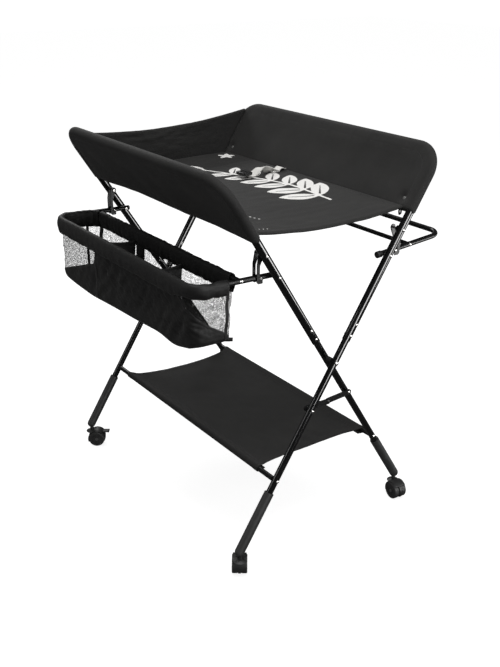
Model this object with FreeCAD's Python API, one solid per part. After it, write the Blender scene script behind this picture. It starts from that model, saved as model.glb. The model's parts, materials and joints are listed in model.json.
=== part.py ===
import FreeCAD, Part
import math
import os
from FreeCAD import Placement, Rotation, Vector

# Folding changing table. Two U-shaped tube frames cross at a pivot and carry a
# fabric tray on top, a fabric shelf below, a basket on one side and a rack on
# the other. Millimetres, +Z up, the floor at Z = 0, the pivot axis along X
# above the origin. The basket is at -Y, the rack at +Y, the head wall at -X.

# --- driving dimensions: the crossed frame -------------------------------
PIVOT_HEIGHT = 500.0
LEAN_DEG = 32.9
INNER_LEG_X = 352.0
LEG_SPACING = 33.0
OUTER_LEG_X = INNER_LEG_X + LEG_SPACING
TOP_TUBE = 20.0
TUBE_WALL = 1.2
LEG_FIT = 0.3
LEG_TUBE = TOP_TUBE - 2 * (TUBE_WALL + LEG_FIT)
TOP_BAR_HEIGHT = 968.0
TOP_BEND_RADIUS = 65.0
TOP_TUBE_END_HEIGHT = PIVOT_HEIGHT + 50.0
LEG_OVERLAP = 50.0
LEG_TOP_HEIGHT = TOP_TUBE_END_HEIGHT + LEG_OVERLAP
JOINT_RIVET_HEIGHTS = (TOP_TUBE_END_HEIGHT + 37.0, TOP_TUBE_END_HEIGHT + 12.0)

# --- fasteners -----------------------------------------------------------
RIVET_SHANK = 5.0
RIVET_HEAD = 9.0
RIVET_HEAD_HEIGHT = 2.4
FORMED_HEAD_SHARE = 0.8
HOLE_CLEARANCE = 0.1
PIVOT_BOLT = 6.0
PIVOT_HEAD = 11.0
PIVOT_SPACER = 15.0
FACE_GAP = 0.3
DRILL_REACH = 40.0

# --- locking stays -------------------------------------------------------
STAY_HEIGHT = PIVOT_HEIGHT - 108.5
STAY_KNEE_DROP = 3.0
STAY_WIDTH = 15.0
STAY_BOSS = 12.0
STAY_THICKNESS = 2.5
STAY_PLANE_GAP = 0.6

# --- feet and casters ----------------------------------------------------
SLEEVE = 24.0
SLEEVE_FIT = 0.1
SLEEVE_TOP_HEIGHT = 205.0
SLEEVE_CAVITY_TO_TIP = 28.0
LEG_END_TO_CAVITY_END = 4.0
SLEEVE_HOLE = 4.0
SLEEVE_HOLE_STEP = 20.0
WHEEL = 47.0
WHEEL_WIDTH = 15.0
WHEEL_GAP = 8.0
WHEEL_ROUND = 3.0
HUB_RECESS = 30.0
HUB_RECESS_DEPTH = 1.6
AXLE = 5.0
AXLE_FIT = 0.05
AXLE_CAP = 9.0
AXLE_CAP_THICKNESS = 1.0
CASTER_TRAIL = 15.0
CASTER_STEM = 8.0
CASTER_STEM_FIT = 0.05
STEM_DEPTH = 20.0
STEM_FLOOR = 2.0
HOOD_WALL = 1.8
HOOD_WHEEL_GAP = 0.9
HOOD_WIDTH = 34.0
HOOD_WEB = 7.0
HOOD_TOP_HEIGHT = WHEEL + 3.0
HOOD_LIP_HEIGHT = 14.1
HOOD_WEB_FOOT_HEIGHT = 9.4
HOOD_TAIL_SHARE = 0.7
HOOD_SHOULDER = 5.0
NECK = 11.0
NECK_HEIGHT = 8.0
BRAKE_TAB = (17.0, 16.0, 3.5)
BRAKE_TAB_END = 4.55
BRAKE_PIVOT = 4.0
BRAKE_PIVOT_DEG = 48.0

# --- fabric tray ---------------------------------------------------------
WALL_CLOTH = 1.5
WALL_PANEL = 9.0
CLOTH_GAP = 0.3
SLEEVED_RADIUS = TOP_TUBE / 2 + CLOTH_GAP + WALL_CLOTH
BED_TOP_HEIGHT = TOP_BAR_HEIGHT - 118.0
BED_THICKNESS = 12.0
BED_FOOT_INSET = 17.0
WALL_BOTTOM_HEIGHT = BED_TOP_HEIGHT - 16.0
HEAD_WALL_THICKNESS = 8.0
HEAD_WALL_END_HEIGHT = TOP_BAR_HEIGHT - 6.0
HEAD_WALL_DIP = 22.0
BELT_WIDTH = 25.0
BELT_THICKNESS = 1.8
BELT_X = -90.0
BELT_LENGTH = 118.0
BUCKLE_SIZE = (42.0, 34.0, 9.0)
SLIDER_SIZE = (32.0, 22.0, 5.0)
SNAP = 12.0
SNAP_RIM = 1.6

# --- shelf ---------------------------------------------------------------
FRONT_BAR_HEIGHT = SLEEVE_TOP_HEIGHT + 28.0
REAR_BAR_HEIGHT = SLEEVE_TOP_HEIGHT + 18.0
SHELF_BAR = 13.0
SHELF_BAR_PLUG = 12.0
SHELF_HALF_LENGTH = INNER_LEG_X - 20.0
SHELF_CLOTH = 3.0

# --- basket and rack -----------------------------------------------------
ARM_TUBE = 13.0
ARM_PIVOT_HEIGHT = BED_TOP_HEIGHT - 110.0
HOOK_BOLT_HEIGHT = ARM_PIVOT_HEIGHT + 57.0
HOOK_PLATE = 2.0
HOOK_PLATE_GAP = 0.4
HOOK_EYE = 15.0
HOOK_SHOULDER = (8.0, 22.0)
HOOK_THROAT = 1.0
HOOK_LIP = 4.5
HOOK_BELLY = 9.0
STUD_REACH = 37.0
STUD = 5.0
STUD_HEAD = 9.0
ARM_BEND_RADIUS = 38.0
BAR_REACH = 88.0
CROSS_BAR = 11.0
BASKET_RISE_DEG = 2.0
BASKET_REACH = 208.0
BASKET_ARM_TAIL = 12.0
BASKET_DEPTH = 165.0
BASKET_CLOTH = 3.0
BASKET_SLEEVE = 2.2
DIVIDER_X = 110.0
DIVIDER_DROP = 20.0
RACK_RISE_DEG = 4.0
RACK_REACH = 205.0
RACK_ARM_TAIL = 18.0
END_CAP = 16.5
END_CAP_LENGTH = 14.0
END_CAP_FLOOR = 2.0
END_CAP_ROUND = 1.2

# Which way each caster trails behind its stem, as an angle from +X.
CASTERS = {
    "outer_near": 143.0,
    "outer_far": 53.0,
    "inner_near": -7.0,
    "inner_far": 127.0,
}
BRAKED = ("outer_near", "outer_far")

OUTER, INNER = 1, -1
NEAR, FAR = 1, -1
ALONG_X = Vector(1, 0, 0)
ALONG_Y = Vector(0, 1, 0)
ALONG_Z = Vector(0, 0, 1)
LEAN = math.radians(LEAN_DEG)
LEG_X = {OUTER: OUTER_LEG_X, INNER: INNER_LEG_X}
FRAME_NAME = {OUTER: "outer", INNER: "inner"}
SIDE_NAME = {NEAR: "near", FAR: "far"}


# --- small makers --------------------------------------------------------
def save(name, *solids):
    shape = solids[0] if len(solids) == 1 else Part.makeCompound(list(solids))
    shape.exportStep(os.path.join("parts", name + ".step"))


def rod(start, end, diameter):
    return Part.makeCylinder(diameter / 2, (end - start).Length, start, end - start)


def ring(start, end, diameter, bore):
    over = (end - start).normalize()
    return rod(start, end, diameter).cut(rod(start - over, end + over, bore))


def box(low, high):
    size = high - low
    return Part.makeBox(size.x, size.y, size.z, low)


def prism(points, reach):
    """A flat outline given by its corners, pushed along the vector reach."""
    return Part.Face(Part.makePolygon(points + points[:1])).extrude(reach)


def bent_wire(points, radius):
    """Straight runs through the points, joined by arcs of one radius."""
    edges = []
    start = points[0]
    for before, corner, after in zip(points, points[1:], points[2:]):
        back = (before - corner).normalize()
        ahead = (after - corner).normalize()
        half = back.getAngle(ahead) / 2
        run = radius / math.tan(half)
        middle = (back + ahead).normalize() * (radius / math.sin(half) - radius)
        edges.append(Part.LineSegment(start, corner + back * run).toShape())
        arc = Part.Arc(corner + back * run, corner + middle, corner + ahead * run)
        edges.append(arc.toShape())
        start = corner + ahead * run
    edges.append(Part.LineSegment(start, points[-1]).toShape())
    return Part.Wire(edges)


def bent_rod(points, radius, diameter):
    path = bent_wire(points, radius)
    circle = Part.makeCircle(diameter / 2, points[0], points[1] - points[0])
    return path.makePipeShell([Part.Wire(circle)], True, False)


def bent_tube(points, radius, diameter, wall):
    solid = bent_rod(points, radius, diameter)
    return solid.cut(bent_rod(points, radius, diameter - 2 * wall))


def domed_head(seat, way, diameter, height):
    """A shallow dome that sits on seat and swells along way."""
    ball = (diameter ** 2 / 4 + height ** 2) / (2 * height)
    sphere = Part.makeSphere(ball, seat + way * (height - ball))
    return sphere.common(Part.makeCylinder(diameter, 2 * height, seat, way))


def rivet(seat, way, grip, shank=RIVET_SHANK, head=RIVET_HEAD):
    """A rivet with a dome at seat and a flat formed head past its grip."""
    tail = seat - way * grip
    body = rod(seat, tail, shank)
    dome = domed_head(seat, way, head, RIVET_HEAD_HEIGHT)
    formed = rod(tail, tail - way * RIVET_HEAD_HEIGHT / 2, head * FORMED_HEAD_SHARE)
    return body.fuse([dome, formed]).removeSplitter()


def drilled(shape, centres, diameter):
    """Cross holes along X, through all of shape at its own side of the table."""
    reach = Vector(DRILL_REACH, 0, 0)
    for centre in centres:
        shape = shape.cut(rod(centre - reach, centre + reach, diameter))
    return shape


# --- where things are ----------------------------------------------------
def on_leg(frame, side, height, off=0.0):
    """The point of a leg's centre line at a height, moved off outwards in X."""
    rise = height - PIVOT_HEIGHT
    return Vector(side * (LEG_X[frame] + off), frame * rise * math.tan(LEAN), height)


def leg_way(frame):
    return Vector(0, frame * math.sin(LEAN), math.cos(LEAN))


def into_frame_plane(shape, frame):
    """Turns a shape drawn in X and Y up the legs of one frame."""
    turn = Rotation(ALONG_X, 90 - frame * LEAN_DEG)
    return shape.transformed(
        Placement(Vector(0, 0, PIVOT_HEIGHT), turn).toMatrix(), True
    )


def up_leg(height):
    return (height - PIVOT_HEIGHT) / math.cos(LEAN)


def u_points(frame, bottom):
    """The corners of a frame's U, drawn flat with the pivot at Y = 0."""
    x = LEG_X[frame]
    top = up_leg(TOP_BAR_HEIGHT)
    return [
        Vector(-x, up_leg(bottom), 0),
        Vector(-x, top, 0),
        Vector(x, top, 0),
        Vector(x, up_leg(bottom), 0),
    ]


def arm_way(frame):
    """Out along an arm: the basket is on the inner frame, the rack on the outer."""
    rise = math.radians(RACK_RISE_DEG if frame == OUTER else BASKET_RISE_DEG)
    return Vector(0, frame * math.cos(rise), math.sin(rise))


def arm_x(frame):
    plate_room = HOOK_PLATE + 2 * HOOK_PLATE_GAP
    return LEG_X[frame] - TOP_TUBE / 2 - plate_room - ARM_TUBE / 2


def on_arm(frame, side, reach, off=0.0):
    root = on_leg(frame, side, ARM_PIVOT_HEIGHT)
    root.x = side * (arm_x(frame) + off)
    return root + arm_way(frame) * reach


# --- the two frames ------------------------------------------------------
def leg_holes(frame, side):
    heights = [*JOINT_RIVET_HEIGHTS, STAY_HEIGHT]
    heights.append(FRONT_BAR_HEIGHT if frame == OUTER else REAR_BAR_HEIGHT)
    return [on_leg(frame, side, height) for height in heights]


def make_top_frame(frame):
    flat = bent_tube(
        u_points(frame, TOP_TUBE_END_HEIGHT), TOP_BEND_RADIUS, TOP_TUBE, TUBE_WALL
    )
    shape = into_frame_plane(flat, frame)
    heights = [*JOINT_RIVET_HEIGHTS, ARM_PIVOT_HEIGHT, HOOK_BOLT_HEIGHT]
    for side in (NEAR, FAR):
        centres = [on_leg(frame, side, height) for height in heights]
        shape = drilled(shape, centres, RIVET_SHANK + 2 * HOLE_CLEARANCE)
    save(f"{FRAME_NAME[frame]}_top_frame", shape)


def make_leg(frame, side):
    top = on_leg(frame, side, LEG_TOP_HEIGHT)
    end = foot_ball(frame, side) + leg_way(frame) * (
        SLEEVE_CAVITY_TO_TIP + LEG_END_TO_CAVITY_END
    )
    leg = ring(top, end, LEG_TUBE, LEG_TUBE - 2 * TUBE_WALL)
    leg = drilled(leg, leg_holes(frame, side), RIVET_SHANK + 2 * HOLE_CLEARANCE)
    pivot = on_leg(frame, side, PIVOT_HEIGHT)
    leg = drilled(leg, [pivot], PIVOT_BOLT + 2 * HOLE_CLEARANCE)
    save(f"{FRAME_NAME[frame]}_leg_{SIDE_NAME[side]}", leg)


def frame_rivets(frame, side):
    """The rivets that join the tubes, and those that hold bar, arm and hook."""
    outwards = Vector(side, 0, 0)
    rivets = []
    for height in JOINT_RIVET_HEIGHTS:
        seat = on_leg(frame, side, height, TOP_TUBE / 2)
        rivets.append(rivet(seat, outwards, TOP_TUBE))
    bar_height = FRONT_BAR_HEIGHT if frame == OUTER else REAR_BAR_HEIGHT
    bar_grip = LEG_TUBE + FACE_GAP + SHELF_BAR_PLUG
    seat = on_leg(frame, side, bar_height, LEG_TUBE / 2)
    rivets.append(rivet(seat, outwards, bar_grip))
    across_arm = LEG_X[frame] + TOP_TUBE / 2 - arm_x(frame) + ARM_TUBE / 2
    seat = on_leg(frame, side, ARM_PIVOT_HEIGHT, TOP_TUBE / 2)
    rivets.append(rivet(seat, outwards, across_arm + FACE_GAP))
    seat = on_leg(frame, side, HOOK_BOLT_HEIGHT, TOP_TUBE / 2)
    across_hooks = across_arm + HOOK_PLATE_GAP + HOOK_PLATE + FACE_GAP
    rivets.append(rivet(seat, outwards, across_hooks))
    return rivets


def make_shelf_bar(frame):
    """A crossbar between two legs, bored at its ends for the legs' rivets."""
    height = FRONT_BAR_HEIGHT if frame == OUTER else REAR_BAR_HEIGHT
    reach = LEG_TUBE / 2 + FACE_GAP
    start = on_leg(frame, FAR, height, -reach)
    end = on_leg(frame, NEAR, height, -reach)
    bar = rod(start, end, SHELF_BAR)
    bore = RIVET_SHANK + 2 * HOLE_CLEARANCE
    pocket = SHELF_BAR - 2 * TUBE_WALL
    inset = Vector(SHELF_BAR_PLUG - RIVET_HEAD_HEIGHT, 0, 0)
    bar = bar.cut(rod(start - ALONG_X, end + ALONG_X, bore))
    bar = bar.cut(rod(start + inset, end - inset, pocket))
    name = "front_shelf_bar" if frame == OUTER else "rear_shelf_bar"
    save(name, bar)


# --- the X pivot and the locking stays -----------------------------------
def make_pivots():
    bolts = []
    spacers = []
    for side in (NEAR, FAR):
        outwards = Vector(side, 0, 0)
        seat = on_leg(OUTER, side, PIVOT_HEIGHT, LEG_TUBE / 2 + FACE_GAP)
        grip = OUTER_LEG_X - INNER_LEG_X + LEG_TUBE + 2 * FACE_GAP
        bolts.append(rivet(seat, outwards, grip, PIVOT_BOLT, PIVOT_HEAD))
        inner = on_leg(INNER, side, PIVOT_HEIGHT, LEG_TUBE / 2)
        outer = on_leg(OUTER, side, PIVOT_HEIGHT, -LEG_TUBE / 2 - FACE_GAP)
        bore = PIVOT_BOLT + 2 * HOLE_CLEARANCE
        spacers.append(ring(inner, outer, PIVOT_SPACER, bore))
    save("pivot_bolts", *bolts)
    save("pivot_spacers", *spacers)


def stay_plane(frame):
    """The near face of a stay link, as a distance from the table's middle."""
    middle = (OUTER_LEG_X + INNER_LEG_X) / 2
    return middle + frame * STAY_PLANE_GAP / 2


def make_stay(frame, side):
    """One of a stay's two flat links, with its boss at the leg and half of
    the knee rivet. The link of the outer frame starts at its leg at -Y."""
    hub = on_leg(frame, side, STAY_HEIGHT)
    knee = Vector(0, 0, STAY_HEIGHT - STAY_KNEE_DROP)
    face = side * stay_plane(frame)
    thick = Vector(side * frame * STAY_THICKNESS, 0, 0)
    hub.x = knee.x = face
    span = knee - hub
    across = ALONG_X.cross(span).normalize() * (STAY_WIDTH / 2)
    plate = prism([hub - across, knee - across, knee + across, hub + across], thick)
    ends = [rod(point, point + thick, STAY_WIDTH) for point in (hub, knee)]
    boss_end = on_leg(frame, side, STAY_HEIGHT, -frame * (LEG_TUBE / 2 + FACE_GAP))
    boss = rod(hub, boss_end, STAY_BOSS)
    way = Vector(side * frame, 0, 0)
    head = domed_head(knee + thick, way, RIVET_HEAD, RIVET_HEAD_HEIGHT)
    link = plate.fuse([*ends, boss, head]).removeSplitter()
    link = drilled(link, [hub], RIVET_SHANK + 2 * HOLE_CLEARANCE)
    save(f"stay_{FRAME_NAME[frame]}_{SIDE_NAME[side]}", link)


def stay_rivet(frame, side):
    """Through the leg and its link. Its dome is on the side that is seen."""
    link_face = stay_plane(frame) - LEG_X[frame]
    if frame == OUTER:
        seat = on_leg(frame, side, STAY_HEIGHT, LEG_TUBE / 2)
        grip = LEG_TUBE / 2 - link_face + FACE_GAP
    else:
        seat = on_leg(frame, side, STAY_HEIGHT, link_face + FACE_GAP)
        grip = link_face + FACE_GAP + LEG_TUBE / 2
    return rivet(seat, Vector(side, 0, 0), grip)


# --- feet and casters ----------------------------------------------------
def foot_ball(frame, side):
    """The centre of a sleeve's round end, above the caster's stem."""
    neck_top = HOOD_TOP_HEIGHT + NECK_HEIGHT
    return on_leg(frame, side, neck_top + FACE_GAP + SLEEVE / 2)


def make_sleeve(frame, side):
    ball = foot_ball(frame, side)
    way = leg_way(frame)
    top = on_leg(frame, side, SLEEVE_TOP_HEIGHT)
    sleeve = rod(ball, top, SLEEVE).fuse(Part.makeSphere(SLEEVE / 2, ball))
    cavity = rod(ball + way * SLEEVE_CAVITY_TO_TIP, top + way, LEG_TUBE + 2 * SLEEVE_FIT)
    socket = rod(
        ball - ALONG_Z * SLEEVE,
        ball + ALONG_Z * (STEM_DEPTH - SLEEVE / 2 + FACE_GAP),
        CASTER_STEM + 2 * CASTER_STEM_FIT,
    )
    sleeve = sleeve.removeSplitter().cut(cavity).cut(socket)
    middle = (top + ball) / 2
    for step in (-1, 0, 1):
        centre = middle + way * step * SLEEVE_HOLE_STEP
        inwards = centre - Vector(side * SLEEVE, 0, 0)
        sleeve = sleeve.cut(rod(centre, inwards, SLEEVE_HOLE))
    save(f"foot_sleeve_{FRAME_NAME[frame]}_{SIDE_NAME[side]}", sleeve)


def turned(shape, frame, side):
    """Stands a caster drawn at the origin, trailing towards +X, under its leg."""
    foot = foot_ball(frame, side)
    angle = CASTERS[f"{FRAME_NAME[frame]}_{SIDE_NAME[side]}"]
    place = Placement(Vector(foot.x, foot.y, 0), Rotation(ALONG_Z, angle))
    return shape.transformed(place.toMatrix(), True)


def wheel_centre(off=0.0):
    return Vector(CASTER_TRAIL, off, WHEEL / 2)


def make_hood():
    """Fender, the web between the wheels, and the neck that turns in the foot."""
    inner = WHEEL / 2 + HOOD_WHEEL_GAP
    half = Vector(0, HOOD_WIDTH / 2, 0)
    web = Vector(0, HOOD_WEB / 2, 0)
    centre = wheel_centre()
    fender = ring(centre - half, centre + half, 2 * (inner + HOOD_WALL), 2 * inner)
    reach = inner + HOOD_WALL
    keep = box(
        Vector(-reach, -half.y, HOOD_LIP_HEIGHT),
        Vector(CASTER_TRAIL + reach * HOOD_TAIL_SHARE, half.y, HOOD_TOP_HEIGHT),
    )
    fender = fender.common(keep)
    below_top = box(
        Vector(-reach, -web.y, HOOD_WEB_FOOT_HEIGHT),
        Vector(CASTER_TRAIL + reach, web.y, HOOD_TOP_HEIGHT),
    )
    plate = rod(centre - web, centre + web, 2 * inner + HOOD_WALL).common(below_top)
    column = box(
        Vector(-NECK / 2, -web.y, WHEEL / 2), Vector(NECK / 2, web.y, HOOD_TOP_HEIGHT)
    )
    top = HOOD_TOP_HEIGHT + NECK_HEIGHT
    collar_foot = wheel_top_at_stem() + HOOD_WHEEL_GAP
    collar = Part.makeCylinder(
        NECK / 2, top - collar_foot, Vector(0, 0, collar_foot), ALONG_Z
    )
    shoulder_foot = Vector(0, 0, HOOD_TOP_HEIGHT - HOOD_SHOULDER)
    shoulder = Part.makeCone(
        HOOD_WIDTH / 2, NECK / 2, HOOD_SHOULDER, shoulder_foot, ALONG_Z
    )
    shoulder = shoulder.cut(rod(centre - 2 * half, centre + 2 * half, 2 * inner))
    hood = fender.fuse([plate, column, collar, shoulder]).removeSplitter()
    room = CASTER_STEM + 2 * CASTER_STEM_FIT
    hood = hood.cut(rod(Vector(0, 0, stem_foot()), Vector(0, 0, top + 1), room))
    axle_hole = AXLE + 2 * HOLE_CLEARANCE
    return hood.cut(rod(centre - 2 * web, centre + 2 * web, axle_hole))


def wheel_top_at_stem():
    return WHEEL / 2 + math.sqrt((WHEEL / 2) ** 2 - CASTER_TRAIL ** 2)


def stem_foot():
    return wheel_top_at_stem() + HOOD_WHEEL_GAP + STEM_FLOOR


def make_wheel(side):
    """One wheel of the pair: a rounded tread with a shallow hub recess."""
    inner = wheel_centre(side * WHEEL_GAP / 2)
    outer = wheel_centre(side * (WHEEL_GAP / 2 + WHEEL_WIDTH))
    wheel = rod(inner, outer, WHEEL)
    rims = [edge for edge in wheel.Edges if edge.Closed]
    wheel = wheel.makeFillet(WHEEL_ROUND, rims)
    recess = outer - Vector(0, side * HUB_RECESS_DEPTH, 0)
    wheel = wheel.cut(rod(recess, outer + Vector(0, side, 0), HUB_RECESS))
    return wheel.cut(rod(wheel_centre(-WHEEL), wheel_centre(WHEEL), AXLE + 2 * AXLE_FIT))


def make_caster(frame, side):
    place = f"{FRAME_NAME[frame]}_{SIDE_NAME[side]}"
    save(f"caster_hood_{place}", turned(make_hood(), frame, side))
    wheels = [turned(make_wheel(way), frame, side) for way in (1, -1)]
    save(f"caster_wheels_{place}", *wheels)
    reach = WHEEL_GAP / 2 + WHEEL_WIDTH - HUB_RECESS_DEPTH
    cap_seat = reach + FACE_GAP
    end = cap_seat + AXLE_CAP_THICKNESS
    axle = rod(wheel_centre(-end), wheel_centre(end), AXLE)
    caps = [
        rod(wheel_centre(way * cap_seat), wheel_centre(way * end), AXLE_CAP)
        for way in (1, -1)
    ]
    axle = axle.fuse(caps).removeSplitter()
    stem_top = foot_ball(frame, side).z + STEM_DEPTH - SLEEVE / 2
    stem = rod(Vector(0, 0, stem_foot()), Vector(0, 0, stem_top), CASTER_STEM)
    save(f"caster_pins_{place}", turned(axle, frame, side), turned(stem, frame, side))
    if place in BRAKED:
        save(f"brake_lever_{place}", turned(make_brake_lever(), frame, side))


def brake_pivot():
    out = WHEEL / 2 + HOOD_WHEEL_GAP + HOOD_WALL + BRAKE_PIVOT / 2 + FACE_GAP
    angle = math.radians(BRAKE_PIVOT_DEG)
    return wheel_centre() + Vector(out * math.cos(angle), 0, out * math.sin(angle))


def make_brake_lever():
    """A tab with a round root that rocks down on the back of the hood."""
    length, width, thick = BRAKE_TAB
    pivot = brake_pivot()
    half = Vector(0, width / 2, 0)
    tab = box(
        pivot - half - Vector(0, 0, thick / 2),
        pivot + half + Vector(length, 0, thick / 2),
    )
    tip = pivot + Vector(length, 0, 0)
    rounded = rod(tip - half, tip + half, BRAKE_TAB_END)
    root = rod(pivot - half, pivot + half, BRAKE_PIVOT)
    return tab.fuse([rounded, root]).removeSplitter()


# --- the fabric tray -----------------------------------------------------
def make_side_wall(frame):
    """A cloth sleeve round the frame's U with a padded panel inside the U."""
    points = u_points(frame, WALL_BOTTOM_HEIGHT)
    cloth = bent_rod(points, TOP_BEND_RADIUS, TOP_TUBE + 2 * (CLOTH_GAP + WALL_CLOTH))
    outline = bent_wire(points, TOP_BEND_RADIUS)
    base = Part.LineSegment(points[-1], points[0]).toShape()
    panel = Part.Face(Part.Wire([*outline.Edges, base]))
    panel.translate(Vector(0, 0, -WALL_PANEL / 2))
    panel = panel.extrude(Vector(0, 0, WALL_PANEL))
    room = bent_rod(
        u_points(frame, WALL_BOTTOM_HEIGHT - 1), TOP_BEND_RADIUS, TOP_TUBE + 2 * CLOTH_GAP
    )
    wall = into_frame_plane(cloth.fuse(panel).removeSplitter().cut(room), frame)
    save(f"{FRAME_NAME[frame]}_side_wall", wall)


def inner_face_y(height, off):
    """How far a plane lies from the middle, off inside the outer frame's plane."""
    return (height - PIVOT_HEIGHT) * math.tan(LEAN) - off / math.cos(LEAN)


def make_bed():
    """The panel between the walls; its foot runs slantwise from leg to leg."""
    low = BED_TOP_HEIGHT - BED_THICKNESS
    off = SLEEVED_RADIUS + CLOTH_GAP
    start = -INNER_LEG_X - SLEEVED_RADIUS
    outline = [
        Vector(start, -inner_face_y(low, off), low),
        Vector(start, inner_face_y(low, off), low),
        Vector(start, inner_face_y(BED_TOP_HEIGHT, off), BED_TOP_HEIGHT),
        Vector(start, -inner_face_y(BED_TOP_HEIGHT, off), BED_TOP_HEIGHT),
    ]
    end = OUTER_LEG_X - BED_FOOT_INSET
    bed = prism(outline, Vector(end - start, 0, 0))
    wide = inner_face_y(BED_TOP_HEIGHT, 0)
    beyond = [
        Vector(INNER_LEG_X - BED_FOOT_INSET, -wide, low - 1),
        Vector(end, -wide, low - 1),
        Vector(end, wide, low - 1),
    ]
    save("bed_panel", bed.cut(prism(beyond, Vector(0, 0, BED_THICKNESS + 2))))


def make_head_wall():
    """The padded end wall: its ends lie along the side walls, its top dips."""
    low = BED_TOP_HEIGHT - BED_THICKNESS
    high = HEAD_WALL_END_HEIGHT
    x = -INNER_LEG_X - SLEEVED_RADIUS - CLOTH_GAP
    off = SLEEVED_RADIUS + CLOTH_GAP
    corners = [
        Vector(x, -inner_face_y(high, off), high),
        Vector(x, -inner_face_y(low, off), low),
        Vector(x, inner_face_y(low, off), low),
        Vector(x, inner_face_y(high, off), high),
    ]
    sides = [
        Part.LineSegment(one, other).toShape()
        for one, other in zip(corners, corners[1:])
    ]
    dip = Part.Arc(corners[-1], Vector(x, 0, high - HEAD_WALL_DIP), corners[0])
    face = Part.Face(Part.Wire([*sides, dip.toShape()]))
    save("head_wall", face.extrude(Vector(-HEAD_WALL_THICKNESS, 0, 0)))


def make_belt():
    """A strap from the bed's edge seam, with its slider and its buckle."""
    edge = inner_face_y(BED_TOP_HEIGHT, SLEEVED_RADIUS + CLOTH_GAP)
    low = BED_TOP_HEIGHT + CLOTH_GAP
    half = BELT_WIDTH / 2
    end = edge - BELT_LENGTH
    strap = box(
        Vector(BELT_X - half, end, low),
        Vector(BELT_X + half, edge - CLOTH_GAP, low + BELT_THICKNESS),
    )
    save("belt_webbing", strap)
    length, width, high = SLIDER_SIZE
    middle = (edge + end) / 2
    slot = box(
        Vector(BELT_X - half - CLOTH_GAP, middle - width, low - 1),
        Vector(BELT_X + half + CLOTH_GAP, middle + width, low + BELT_THICKNESS + CLOTH_GAP),
    )
    slider = box(
        Vector(BELT_X - length / 2, middle - width / 2, low),
        Vector(BELT_X + length / 2, middle + width / 2, low + high),
    )
    save("belt_slider", slider.cut(slot))
    width, length, high = BUCKLE_SIZE
    buckle = box(
        Vector(BELT_X - width / 2, end - CLOTH_GAP - length, low),
        Vector(BELT_X + width / 2, end - CLOTH_GAP, low + high),
    )
    save("belt_buckle", buckle)


def make_snaps():
    """Press studs at the bottom corners of the outer side wall."""
    snaps = []
    inwards = -into_frame_normal(OUTER)
    for side in (NEAR, FAR):
        seat = on_leg(OUTER, side, BED_TOP_HEIGHT + SNAP, -TOP_TUBE - SNAP)
        seat = seat - inwards * (WALL_PANEL / 2)
        rim = rod(seat, seat - inwards * SNAP_RIM, SNAP)
        dome = domed_head(seat - inwards * SNAP_RIM, -inwards, SNAP, SNAP_RIM)
        snaps.append(rim.fuse(dome).removeSplitter())
    save("wall_snaps", *snaps)


def into_frame_normal(frame):
    """Square to a frame's plane, pointing out of the tray."""
    return Vector(0, frame * math.cos(LEAN), -math.sin(LEAN))


# --- the shelf -----------------------------------------------------------
def make_shelf():
    """Cloth with a sleeve round each crossbar and a flat panel between them."""
    half = Vector(SHELF_HALF_LENGTH, 0, 0)
    front = on_leg(OUTER, NEAR, FRONT_BAR_HEIGHT)
    rear = on_leg(INNER, NEAR, REAR_BAR_HEIGHT)
    front.x = rear.x = 0
    bore = SHELF_BAR + 2 * CLOTH_GAP
    around = bore + SHELF_CLOTH
    lift = Vector(0, 0, SHELF_CLOTH / 2)
    panel = prism(
        [front - half - lift, rear - half - lift, rear - half + lift, front - half + lift],
        2 * half,
    )
    sleeves = [rod(bar - half, bar + half, around) for bar in (front, rear)]
    shelf = panel.fuse(sleeves).removeSplitter()
    for bar in (front, rear):
        shelf = shelf.cut(rod(bar - half - ALONG_X, bar + half + ALONG_X, bore))
    save("shelf_panel", shelf)


# --- basket and rack -----------------------------------------------------
def arm_points(frame, tail, reach):
    return [
        on_arm(frame, FAR, -tail),
        on_arm(frame, FAR, reach),
        on_arm(frame, NEAR, reach),
        on_arm(frame, NEAR, -tail),
    ]


def make_arm_frame(frame, name, tail, reach):
    """A U of tube whose arms turn on the legs and carry one stud each."""
    tube = bent_tube(arm_points(frame, tail, reach), ARM_BEND_RADIUS, ARM_TUBE, TUBE_WALL)
    for side in (NEAR, FAR):
        centres = [on_arm(frame, side, at) for at in (0, STUD_REACH, BAR_REACH)]
        tube = drilled(tube, centres, RIVET_SHANK + 2 * HOLE_CLEARANCE)
    save(name, tube)


def make_cross_bar(frame, name):
    gap = ARM_TUBE / 2 + FACE_GAP
    start = on_arm(frame, FAR, BAR_REACH, -gap)
    end = on_arm(frame, NEAR, BAR_REACH, -gap)
    bore = RIVET_SHANK + 2 * HOLE_CLEARANCE
    save(name, ring(start, end, CROSS_BAR, bore))


def make_arm_rivets(frame, name):
    """The cross bar's rivets, and the studs that the hooks catch."""
    solids = []
    for side in (NEAR, FAR):
        outwards = Vector(side, 0, 0)
        seat = on_arm(frame, side, BAR_REACH, ARM_TUBE / 2)
        shank = rod(seat, seat - outwards * (ARM_TUBE + SHELF_BAR_PLUG), RIVET_SHANK)
        dome = domed_head(seat, outwards, RIVET_HEAD, RIVET_HEAD_HEIGHT / 2)
        solids.append(shank.fuse(dome).removeSplitter())
        plate = HOOK_PLATE_GAP + HOOK_PLATE
        outer = on_arm(frame, side, STUD_REACH, ARM_TUBE / 2 + plate)
        inner = on_arm(frame, side, STUD_REACH, -ARM_TUBE / 2 - plate - FACE_GAP)
        stud = rod(outer, inner, STUD)
        head = domed_head(inner, -outwards, STUD_HEAD, RIVET_HEAD_HEIGHT)
        solids.append(stud.fuse(head).removeSplitter())
    save(name, *solids)


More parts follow.
